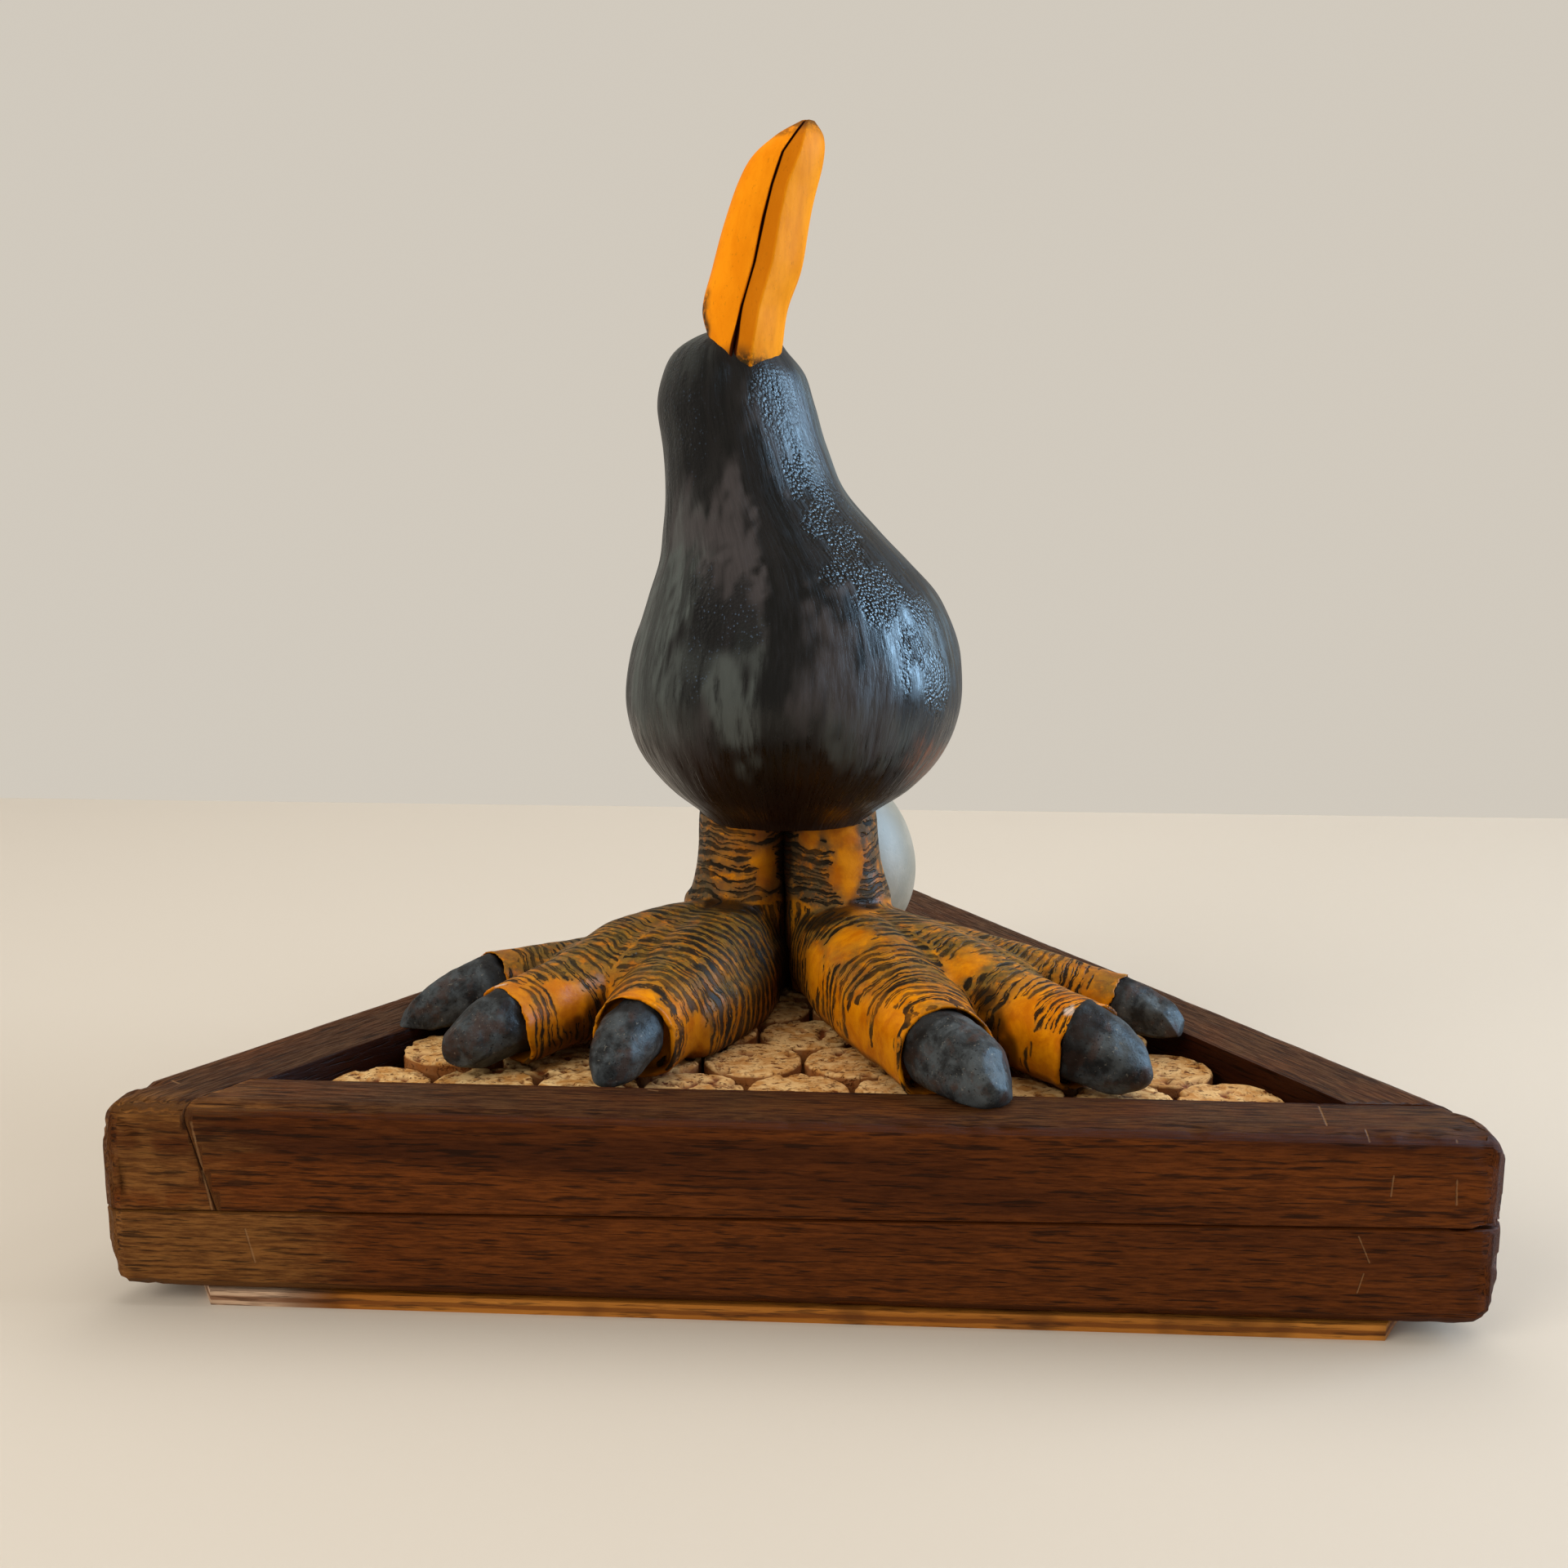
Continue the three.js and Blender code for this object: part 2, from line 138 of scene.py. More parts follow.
def signed_power(value, power):
    """A power that keeps the sign, which squares a round section."""
    return np.sign(value) * np.abs(value) ** power


def limb_tube(stations, sole, start, end=1, front=None, chance=0):
    """A surface round a limb through stations of x, y, z, half width and half height. Its lower
    half is squarer where sole is below 1. The ends are rounded over the given shares, or the front
    has its own profile: rows of share of length, share of size and raggedness in millimetres."""

    def surface(turns, shares):
        angle = TAU * turns
        torn = 0
        if front is None:
            at = shares
            head = rounded(1 - shares, end)
        else:
            profile = np.array(front)
            at, head, ragged = [np.interp(shares, profile[:, 0], profile[:, i]) for i in (1, 2, 3)]
            torn = np.sin(2 * angle + chance) + 0.5 * np.sin(5 * angle + 2 * chance)
            torn = 0.5 * ragged * (torn + 0.35 * np.sin(11 * angle + 3 * chance))
            head = head * (1 + 0.02 * ragged * np.sin(5 * angle + 2 * chance))
        tail = rounded(shares, start)
        row = spline(stations, at)
        step = 0.02
        ahead = spline(stations, np.minimum(at + step, 1)) - spline(stations, np.maximum(at - step, 0))
        ahead = ahead[:, :3] / np.linalg.norm(ahead[:, :3], axis=1)[:, None]
        across = np.cross([0.0, 0.0, 1.0], ahead)
        across /= np.linalg.norm(across, axis=1)[:, None]
        over = np.cross(ahead, across)
        power = np.where(np.sin(angle) < 0, sole, 1)
        sideways = signed_power(np.cos(angle), power) * row[:, 3] * head * tail
        upwards = signed_power(np.sin(angle), power) * row[:, 4] * head * tail
        middle = row[:, :3] + ahead * np.reshape(torn, (-1, 1))
        return middle + across * sideways[:, None] + over * upwards[:, None]

    return surface


def mesh_of(bm, name):
    """A bmesh as a mesh whose faces point outwards."""
    bmesh.ops.recalc_face_normals(bm, faces=bm.faces)
    mesh = bpy.data.meshes.new(name)
    bm.to_mesh(mesh)
    bm.free()
    return mesh


def piece_of(name, mesh, finish, nodes):
    """Makes a mesh a piece of the object that rides on its one body and stands for CAD nodes."""
    mesh.name = name
    mesh.materials.clear()
    mesh.materials.append(finish)
    mesh.polygons.foreach_set("use_smooth", np.ones(len(mesh.polygons), bool))
    piece = bpy.data.objects.new(name, mesh)
    bpy.context.scene.collection.objects.link(piece)
    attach(piece, "root")
    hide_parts(*nodes)


def remeshed(bm, voxel, smoothing):
    """The closed skin round everything in a bmesh, in even faces of the given size in millimetres,
    smoothed the given number of times."""
    rough = mesh_of(bm, "rough")
    holder = bpy.data.objects.new("rough", rough)
    bpy.context.scene.collection.objects.link(holder)
    remesh = holder.modifiers.new("skin", "REMESH")
    remesh.mode = "VOXEL"
    remesh.voxel_size = voxel * MM
    smooth = holder.modifiers.new("smooth", "SMOOTH")
    smooth.factor = 0.5
    smooth.iterations = smoothing
    seen = holder.evaluated_get(bpy.context.evaluated_depsgraph_get())
    mesh = bpy.data.meshes.new_from_object(seen)
    bpy.data.objects.remove(holder)
    bpy.data.meshes.remove(rough)
    return mesh


def points_of(mesh):
    """A mesh's points and normals as arrays, in millimetres and unit lengths."""
    points = np.empty(len(mesh.vertices) * 3, np.float32)
    mesh.vertices.foreach_get("co", points)
    normals = np.empty(len(mesh.vertices) * 3, np.float32)
    mesh.vertex_normals.foreach_get("vector", normals)
    return points.reshape(-1, 3).astype(float) / MM, normals.reshape(-1, 3).astype(float)


def move_points(mesh, points):
    """Puts a mesh's points at the given places in millimetres."""
    mesh.vertices.foreach_set("co", (points * MM).astype(np.float32).ravel())
    mesh.update()


def paint(mesh, **layers):
    """Keeps values for every point of a mesh under their names, for its material to read."""
    for name, values in layers.items():
        kind, field = ("FLOAT", "value") if values.ndim == 1 else ("FLOAT_VECTOR", "vector")
        layer = mesh.attributes.new(name, kind, "POINT")
        layer.data.foreach_set(field, values.astype(np.float32).ravel())


def spots(points, places, ragged, outer, inner, stretch=(1, 1, 1)):
    """How far each point lies in round spots, from 0 to 1. A spot has a middle and a radius, and
    fades in from the outer share of its radius to the inner share."""
    total = np.zeros(len(points))
    for middle, radius in places:
        away = np.linalg.norm((points - middle) * stretch, axis=1) + ragged
        total = np.maximum(total, rise(radius * outer, radius * inner, away))
    return total


def tube_mesh(name, across, along, surface):
    """The mesh of one closed tube, with its points and its normals."""
    bm = bmesh.new()
    skin(bm, across, along, surface)
    mesh = mesh_of(bm, name)
    return mesh, *points_of(mesh)


# Helpers for materials


def colour(red, green, blue):
    """A colour from the 0 to 255 values that a screen shows."""
    parts = [value / 255 for value in (red, green, blue)]
    linear = [p / 12.92 if p <= 0.04045 else ((p + 0.055) / 1.055) ** 2.4 for p in parts]
    return (*linear, 1.0)


class Shading:
    """The nodes of one material or group, with short ways to place and join them."""

    def __init__(self, tree):
        self.tree = tree

    def add(self, kind, inputs=None, **settings):
        node = self.tree.nodes.new(kind)
        for name, value in settings.items():
            setattr(node, name, value)
        for name, value in (inputs or {}).items():
            self.fill(node.inputs[name], value)
        return node

    def fill(self, socket, value):
        """Gives a socket a plain value, another socket's, or what was painted under a name."""
        if isinstance(value, str):
            value = self.attribute(value)
        if isinstance(value, bpy.types.NodeSocket):
            self.tree.links.new(value, socket)
        else:
            socket.default_value = value

    def group(self, tree, **inputs):
        return self.add("ShaderNodeGroup", inputs, node_tree=tree).outputs

    def place(self):
        return self.add("ShaderNodeTexCoord").outputs["Object"]

    def attribute(self, name, output="Fac"):
        return self.add("ShaderNodeAttribute", attribute_name=name).outputs[output]

    def noise(self, vector, scale, detail, roughness, distortion=0.0):
        inputs = {"Vector": vector, "Scale": scale, "Detail": detail, "Roughness": roughness}
        inputs["Distortion"] = distortion
        return self.add("ShaderNodeTexNoise", inputs).outputs["Fac"]

    def stretch(self, vector, scale):
        inputs = {"Vector": vector, "Scale": scale}
        return self.add("ShaderNodeMapping", inputs).outputs["Vector"]

    def step(self, value, low, high, to_low=0.0, to_high=1.0):
        inputs = {"Value": value, "From Min": low, "From Max": high, "To Min": to_low, "To Max": to_high}
        node = self.add("ShaderNodeMapRange", inputs, interpolation_type="SMOOTHSTEP")
        return node.outputs["Result"]

    def math(self, operation, a, b=0.0, clamp=False):
        return self.add("ShaderNodeMath", {0: a, 1: b}, operation=operation, use_clamp=clamp).outputs[0]

    def plus(self, a, b):
        return self.math("ADD", a, b)

    def minus(self, a, b):
        return self.math("SUBTRACT", a, b)

    def times(self, a, b):
        return self.math("MULTIPLY", a, b)

    def larger(self, a, b):
        return self.math("MAXIMUM", a, b)

    def scaled(self, vector, scale):
        inputs = {0: vector, "Scale": scale}
        return self.add("ShaderNodeVectorMath", inputs, operation="SCALE").outputs["Vector"]

    def vector_math(self, operation, a, b, output="Vector"):
        return self.add("ShaderNodeVectorMath", {0: a, 1: b}, operation=operation).outputs[output]

    def mix(self, share, a, b):
        """Two colours mixed, each a socket or what a screen shows."""
        node = self.add("ShaderNodeMix", data_type="RGBA")
        for number, value in ((0, share), (6, a), (7, b)):
            self.fill(node.inputs[number], colour(*value) if isinstance(value, tuple) else value)
        return node.outputs[2]

    def over(self, base, tint, share, strength=None):
        """A base colour with a tint over it, as far as the share times the strength."""
        if strength is not None:
            share = self.times(share, strength)
        return self.mix(share, base, tint)

    def bump(self, height, distance, strength, normal=None):
        inputs = {"Height": height, "Distance": distance * MM, "Strength": strength}
        if normal is not None:
            inputs["Normal"] = normal
        return self.add("ShaderNodeBump", inputs).outputs["Normal"]


def material(name, look=None, **sockets):
    """A new material with a Principled BSDF. Some of its sockets have plain values, and the look
    gives what the others are linked to."""
    made = bpy.data.materials.new(name)
    made.use_nodes = True
    shader = made.node_tree.nodes["Principled BSDF"]
    nodes = Shading(made.node_tree)
    if look:
        sockets.update(look(nodes, nodes.place()))
    for socket, value in sockets.items():
        nodes.fill(shader.inputs[socket.replace("_", " ")], value)
    return made


# Camera: its place and lens in millimetres, and its turns in radians

CAMERA_PLACE = (19.74, -426.3, 177.15)
CAMERA_YAW = 0.0599
CAMERA_PITCH = 0.1744
CAMERA_ROLL = 0.0018
CAMERA_LENS = 39.19

camera_data = bpy.data.cameras.new("camera")
camera_data.sensor_width = 36
camera_data.lens = CAMERA_LENS
camera_data.clip_start = 0.01
camera = bpy.data.objects.new("camera", camera_data)
turn_left = Matrix.Rotation(CAMERA_YAW, 4, "Z")
look_down = Matrix.Rotation(math.pi / 2 - CAMERA_PITCH, 4, "X")
roll = Matrix.Rotation(CAMERA_ROLL, 4, "Z")
camera.matrix_world = Matrix.Translation(Vector(CAMERA_PLACE) * MM) @ turn_left @ look_down @ roll
bpy.context.scene.collection.objects.link(camera)
bpy.context.scene.camera = camera


# Materials


def new_group(name, inputs, outputs):
    """A shader node group with the given sockets, its nodes, its inputs and its output node."""
    tree = bpy.data.node_groups.new(name, "ShaderNodeTree")
    for socket, kind, value in inputs:
        made = tree.interface.new_socket(socket, in_out="INPUT", socket_type=f"NodeSocket{kind}")
        made.default_value = value
    for socket in outputs:
        tree.interface.new_socket(socket, in_out="OUTPUT", socket_type="NodeSocketFloat")
    nodes = Shading(tree)
    return tree, nodes, nodes.add("NodeGroupInput").outputs, nodes.add("NodeGroupOutput").inputs


def glaze_flaws_group():
    """The flaws of a hand-brushed glaze: broad mottling, fine ripple and pinholes."""
    inputs = [("Vector", "Vector", (0, 0, 0)), ("Fineness", "Float", 1.0)]
    tree, nodes, given, result = new_group("glaze_flaws", inputs, ("Mottle", "Ripple", "Pinholes"))
    scaled = nodes.scaled(given["Vector"], given["Fineness"])
    grain = nodes.noise(scaled, 1300, 3, 0.7)
    nodes.fill(result["Mottle"], nodes.noise(scaled, 170, 5, 0.65, 0.4))
    nodes.fill(result["Ripple"], nodes.noise(scaled, 520, 4, 0.6))
    nodes.fill(result["Pinholes"], nodes.step(grain, 0.6, 0.7))
    return tree


def broken_lines_group():
    """Hand-cut lines at even steps of a way in millimetres, ragged, uneven and broken."""
    inputs = [
        ("Vector", "Vector", (0, 0, 0)),
        ("Way", "Float", 0.0),
        ("Spacing", "Float", 2.0),
        ("Width", "Float", 0.5),
        ("Cover", "Float", 0.0),
    ]
    tree, nodes, given, result = new_group("broken_lines", inputs, ("Line", "Halo"))
    place = given["Vector"]
    wander = nodes.step(nodes.noise(place, 60, 2, 0.5), 0, 1, -3.0, 3.0)
    shiver = nodes.step(nodes.noise(place, 260, 2, 0.5), 0, 1, -0.7, 0.7)
    way = nodes.plus(nodes.plus(given["Way"], wander), shiver)
    # Every line has a number, and its own shift and gaps come from it
    cell = nodes.math("DIVIDE", way, given["Spacing"])
    number = nodes.math("FLOOR", cell)
    shift = nodes.times(nodes.math("SINE", nodes.times(number, 12.99)), 0.17)
    apart = nodes.minus(nodes.math("FRACT", cell), nodes.plus(shift, 0.5))
    apart = nodes.times(nodes.math("ABSOLUTE", apart), given["Spacing"])
    own = nodes.vector_math("ADD", place, nodes.scaled((0.37, 0.91, 0.53), number))
    mask = nodes.times(nodes.minus(nodes.noise(own, 38, 3, 0.5), 0.5), 3.4)
    mask = nodes.plus(mask, given["Cover"])
    uneven = nodes.step(nodes.noise(own, 210, 3, 0.6), 0.3, 0.7, 0.3, 1.6)
    half = nodes.times(nodes.times(given["Width"], uneven), nodes.step(mask, 0, 0.3))
    frayed = nodes.times(nodes.noise(place, 1700, 2, 0.6), 0.35)
    ratio = nodes.math("DIVIDE", nodes.plus(apart, frayed), nodes.plus(half, 0.0001))
    nodes.fill(result["Line"], nodes.step(ratio, 1.25, 0.75))
    nodes.fill(result["Halo"], nodes.times(nodes.step(ratio, 3.2, 0.8), nodes.step(mask, 0, 0.5)))
    return tree


GLAZE_FLAWS = glaze_flaws_group()
BROKEN_LINES = broken_lines_group()


def black_glaze(nodes, place):
    """Black-brown glaze brushed on in upright strokes, with grey-green and mauve bloom, glossy
    pitted runs with painted glints of light, and painted brown shade towards the lower edge."""
    around = nodes.attribute("around", "Vector")
    flaws = nodes.group(GLAZE_FLAWS, Vector=place)
    broad = nodes.noise(around, 150, 3, 0.55, 0.5)
    fine = nodes.noise(around, 1000, 4, 0.7, 0.3)
    brushed = nodes.plus(nodes.times(broad, 0.6), nodes.times(fine, 0.4))
    brushed = nodes.step(brushed, 0.42, 0.56)
    base = nodes.mix(brushed, (3, 3, 3), (16, 14, 14))
    streaky = nodes.plus(nodes.times(brushed, 0.75), 0.25)
    bloom = nodes.times("bloom", streaky)
    base = nodes.over(base, (78, 84, 82), bloom)
    mauve = nodes.times("mauve", nodes.plus(nodes.times(fine, 0.8), 0.3))
    base = nodes.over(base, (66, 61, 62), mauve)
    # Painted shade: the body turns dark brown towards its bottom
    base = nodes.over(base, (22, 9, 5), "low", 0.9)
    rust = nodes.times("rust", nodes.step(fine, 0.42, 0.62))
    base = nodes.over(base, (124, 70, 36), rust)
    pits = nodes.attribute("pits")
    pimples = nodes.add("ShaderNodeTexVoronoi", {"Vector": place, "Scale": 1100.0}).outputs["Distance"]
    base = nodes.over(base, (5, 6, 8), pits, 0.9)
    # Painted highlight: small blue-white glints of the window's light in the pitted runs
    painted_glints = nodes.times(nodes.step(pimples, 0.3, 0.2), nodes.step(fine, 0.48, 0.58))
    base = nodes.over(base, (96, 120, 150), nodes.times(painted_glints, pits), 0.4)
    dull = nodes.larger(bloom, mauve)
    rough = nodes.plus(nodes.step(fine, 0.35, 0.65, 0.22, 0.5), nodes.times(dull, 0.14))
    rough = nodes.minus(rough, nodes.times(pits, 0.1))
    ripple = nodes.plus(nodes.noise(around, 420, 3, 0.6), nodes.times(fine, 0.8))
    ripple = nodes.plus(ripple, nodes.times(flaws["Ripple"], 0.3))
    normal = nodes.bump(ripple, 0.24, 0.8)
    dimples = nodes.times(nodes.minus(0.42, pimples), pits)
    normal = nodes.bump(dimples, 0.5, 0.72, normal)
    return dict(Base_Color=base, Roughness=rough, Normal=normal)


def beak_glaze(nodes, place):
    """Saturated orange glaze, with the dark seam between the bills, smudges of the black glaze and
    painted shade on the lower bill's facet between the seam and the ridge.
    """
    flaws = nodes.group(GLAZE_FLAWS, Vector=nodes.stretch(place, (1, 1, 0.4)))
    lower_bill = nodes.mix(nodes.step(flaws["Mottle"], 0.35, 0.65), (222, 136, 14), (238, 152, 24))
    upper_bill = nodes.mix(nodes.step(flaws["Mottle"], 0.3, 0.7), (236, 136, 12), (248, 150, 18))
    base = nodes.mix("upper", lower_bill, upper_bill)
    # Painted shade on the lower bill's facet that faces away from the window
    base = nodes.over(base, (184, 98, 6), "facet", 0.75)
    dirt = nodes.times("smudge", nodes.step(nodes.noise(place, 420, 5, 0.7), 0.3, 0.55))
    base = nodes.over(base, (58, 46, 26), dirt)
    base = nodes.over(base, (52, 18, 4), nodes.step("seam", 0.35, 0.7))
    base = nodes.over(base, (120, 66, 10), flaws["Pinholes"], 0.25)
    normal = nodes.bump(flaws["Ripple"], 0.2, 0.6)
    return dict(Base_Color=base, Normal=normal)


def foot_glaze(nodes, place):
    """Orange glaze over hand-cut lines that hold black, with grey-olive stain between them."""
    flaws = nodes.group(GLAZE_FLAWS, Vector=place)
    base = nodes.mix(nodes.step(flaws["Mottle"], 0.32, 0.68), (186, 102, 3), (220, 137, 8))
    olive = nodes.mix(nodes.step(flaws["Ripple"], 0.4, 0.6), (112, 88, 38), (76, 66, 38))
    leg = nodes.attribute("leg_share")
    olive = nodes.over(olive, (68, 64, 50), leg, 0.9)
    patchy = nodes.step(nodes.noise(place, 300, 5, 0.7), 0.25, 0.55)
    base = nodes.over(base, olive, nodes.times("wash", patchy), 0.92)
    toe = nodes.attribute("toe_share")
    arch = nodes.minus(1.0, nodes.larger(leg, toe))
    line = halo = None
    for way, share, spacing, width, less in LINE_SETS:
        share = {"leg": leg, "toe": toe, "arch": arch}[share]
        missing = nodes.times(nodes.minus(1.0, share), 3.0)
        here = nodes.minus(nodes.minus("cover", missing), less)
        cut = nodes.group(BROKEN_LINES, Vector=place, Way=way, Spacing=spacing, Width=width, Cover=here)
        line = cut["Line"] if line is None else nodes.larger(line, cut["Line"])
        halo = cut["Halo"] if halo is None else nodes.larger(halo, cut["Halo"])
    halo = nodes.times(halo, nodes.step(nodes.noise(place, 160, 3, 0.6), 0.35, 0.65, 0.1, 0.75))
    base = nodes.over(base, olive, halo)
    # Painted shade in the creases, low down, and under and between the toes, with some black glaze
    base = nodes.over(base, (26, 12, 6), "shade", 0.94)
    filled = nodes.step(nodes.noise(place, 110, 3, 0.6), 0.35, 0.6, 0.6, 0.96)
    base = nodes.over(base, (26, 23, 18), nodes.times(line, filled))
    base = nodes.over(base, (206, 186, 170), "pale", 0.8)
    rough = nodes.step(line, 0, 1, 0.4, 0.5)
    relief = nodes.minus(nodes.times(flaws["Ripple"], 0.35), line)
    normal = nodes.bump(relief, 0.5, 0.8)
    return dict(Base_Color=base, Roughness=rough, Normal=normal)


def claw_glaze(nodes, place):
    """Slate-coloured metallic glaze with brown mottling and dark scuffs, and painted shade at its root."""
    flaws = nodes.group(GLAZE_FLAWS, Vector=place)
    base = nodes.mix(nodes.step(flaws["Mottle"], 0.36, 0.64), (34, 35, 36), (74, 79, 82))
    brown = nodes.step(nodes.noise(nodes.stretch(place, (1.3, 0.9, 1.1)), 130, 4, 0.65), 0.5, 0.64)
    base = nodes.over(base, (66, 50, 44), brown, 0.7)
    specks = nodes.step(nodes.noise(place, 900, 3, 0.7), 0.62, 0.7)
    base = nodes.over(base, (128, 122, 112), specks, 0.5)
    # Painted shade at the claw's root, where it goes into its toe's socket
    base = nodes.over(base, (20, 14, 11), "rim", 0.85)
    base = nodes.over(base, (22, 22, 24), flaws["Pinholes"])
    rough = nodes.step(flaws["Mottle"], 0.3, 0.7, 0.44, 0.62)
    normal = nodes.bump(flaws["Ripple"], 0.35, 0.8)
    return dict(Base_Color=base, Roughness=rough, Normal=normal)


def grain_group():
    """Wood grain along X: a broad tone, fine streaks and dark pores."""
    inputs = [("Vector", "Vector", (0, 0, 0))]
    tree, nodes, given, result = new_group("wood_grain", inputs, ("Tone", "Pores", "Streaks"))
    source = given["Vector"]
    nodes.fill(result["Tone"], nodes.noise(nodes.stretch(source, (0.05, 1, 1)), 90, 4, 0.6, 0.3))
    nodes.fill(result["Streaks"], nodes.noise(nodes.stretch(source, (0.09, 1, 1)), 1400, 5, 0.75))
    pores = nodes.noise(nodes.stretch(source, (0.07, 1, 1)), 1300, 2, 0.6)
    nodes.fill(result["Pores"], nodes.step(pores, 0.54, 0.66))
    return tree


def scratch_group():
    """A straight scratch between two places, in metres, with ragged sides."""
    inputs = [
        ("Vector", "Vector", (0, 0, 0)),
        ("From", "Vector", (0, 0, 0)),
        ("To", "Vector", (0, 0, 1)),
        ("Width", "Float", 0.0005),
    ]
    tree, nodes, given, result = new_group("scratch", inputs, ("Mark",))
    reach = nodes.vector_math("SUBTRACT", given["To"], given["From"])
    away = nodes.vector_math("SUBTRACT", given["Vector"], given["From"])
    along = nodes.vector_math("DOT_PRODUCT", away, reach, "Value")
    whole = nodes.vector_math("DOT_PRODUCT", reach, reach, "Value")
    foot = nodes.scaled(reach, nodes.math("DIVIDE", along, whole, clamp=True))
    gap = nodes.vector_math("DISTANCE", away, foot, "Value")
    ragged = nodes.times(nodes.noise(given["Vector"], 900, 3, 0.7), given["Width"])
    size = nodes.math("DIVIDE", nodes.plus(gap, ragged), given["Width"])
    nodes.fill(result["Mark"], nodes.step(size, 1.3, 0.7))
    return tree


WOOD_GRAIN = grain_group()
SCRATCH = scratch_group()
# Scratches and nicks on the tray's front: where each starts and ends and its half width, in millimetres
SCRATCHES = [
    ([-116.8, -88.0, 18.5], [-115.0, -88.1, 11.1], 0.4),
    ([113.0, -73.6, 46.5], [112.0, -84.2, 46.4], 0.4),
    ([119.6, -85.3, 46.1], [120.0, -87.2, 44.2], 0.35),
    ([125.1, -88.0, 37.2], [124.8, -88.0, 32.8], 0.3),
    ([137.6, -86.9, 45.1], [138.2, -87.9, 31.3], 0.4),
    ([118.8, -88.0, 23.8], [121.3, -88.0, 18.1], 0.3),
    ([120.3, -88.0, 15.6], [119.2, -88.1, 11.4], 0.3),
    ([-127.3, -88.0, 42.5], [-123.9, -88.0, 23.0], 0.5),
    ([-137.0, -74.0, 46.5], [-135.0, -75.5, 46.5], 0.6),
    ([-31.0, -72.6, 46.4], [-29.0, -73.2, 46.4], 0.5),
]
# The sets of cut lines on the feet: the way they count along, where they lie, their spacing and half
# width in millimetres, and how much rarer they are
LINE_SETS = [
    ("leg_way", "leg", 2.5, 0.62, 0.1),
    ("arch_way", "arch", 3.1, 0.72, 0.0),
    ("arch_way", "arch", 1.6, 0.3, 0.3),
    ("toe_way", "toe", 2.3, 0.5, 0.0),
    ("toe_way", "toe", 1.3, 0.24, 0.3),
    ("leg_way", "leg", 1.1, 0.3, 0.5),
]


def rail_wood(nodes, place):
    """Old dark varnished hardwood with fine grain, rubbed tan at its edges, dusty and with a painted
    sheen on top, scratched, and with painted shade on its inner faces.
    """
    along = nodes.attribute("grain", "Vector")
    grain = nodes.group(WOOD_GRAIN, Vector=along)
    tone = nodes.step(grain["Tone"], 0.32, 0.68)
    base = nodes.mix(tone, (64, 29, 6), (104, 53, 14))
    streak = nodes.step(grain["Streaks"], 0.38, 0.62)
    base = nodes.over(base, (42, 17, 4), streak, 0.6)
    # Dust and a painted pale sheen on the rails' tops
    dust_and_sheen = nodes.mix(streak, (80, 53, 29), (45, 25, 11))
    patchy = nodes.step(nodes.noise(along, 40, 4, 0.6), 0.3, 0.65)
    base = nodes.over(base, dust_and_sheen, nodes.times("top", nodes.plus(nodes.times(patchy, 0.5), 0.35)))
    uneven = nodes.noise(nodes.stretch(along, (0.2, 1, 1)), 160, 5, 0.7)
    rubbed = nodes.step(nodes.plus("wear", uneven), 0.8, 1.2)
    tan = nodes.mix(streak, (138, 94, 46), (96, 60, 28))
    base = nodes.over(base, tan, rubbed, 0.6)
    # Painted shade on the rails' inner faces, inside the tray
    base = nodes.over(base, (30, 10, 6), "inner", 0.75)
    base = nodes.over(base, (20, 9, 4), grain["Pores"], 0.7)
    scratch = None
    for start, end, width in SCRATCHES:
        start, end = [tuple(part * MM for part in point) for point in (start, end)]
        mark = nodes.group(SCRATCH, Vector=place, From=start, To=end, Width=width * MM)["Mark"]
        scratch = mark if scratch is None else nodes.larger(scratch, mark)
    base = nodes.over(base, (146, 108, 72), scratch, 0.5)
    rough = nodes.step(streak, 0, 1, 0.42, 0.62)
    relief = nodes.minus(grain["Streaks"], nodes.times(grain["Pores"], 0.6))
    normal = nodes.bump(nodes.minus(relief, scratch), 0.3, 0.7)
    return dict(Base_Color=base, Roughness=rough, Normal=normal)


def plywood(nodes, place):
    """Bare plywood edge, pale and pinkish at its left end and yellow-tan beyond, with a dark ply."""
    grain = nodes.group(WOOD_GRAIN, Vector=place)
    parts = nodes.add("ShaderNodeSeparateXYZ", {0: place}).outputs
    base = nodes.mix(nodes.step(grain["Tone"], 0.35, 0.65), (150, 88, 26), (198, 132, 56))
    pale_end = nodes.step(nodes.plus(parts["X"], nodes.times(grain["Tone"], 0.03)), -0.085, -0.1)
    base = nodes.over(base, (206, 178, 152), pale_end, 0.8)
    uneven = nodes.plus(parts["Z"], nodes.times(nodes.noise(place, 60, 3, 0.6), 0.0007))
    middle_ply = nodes.times(nodes.step(uneven, 0.0012, 0.0016), nodes.step(uneven, 0.0027, 0.0023))
    base = nodes.over(base, (104, 54, 16), middle_ply, 0.75)
    stained = nodes.times(nodes.step(nodes.noise(place, 26, 3, 0.6), 0.52, 0.6), 0.5)
    base = nodes.over(base, (78, 42, 18), stained)
    base = nodes.over(base, (58, 32, 14), grain["Pores"], 0.6)
    normal = nodes.bump(grain["Streaks"], 0.4, 0.8)
    return dict(Base_Color=base, Normal=normal)


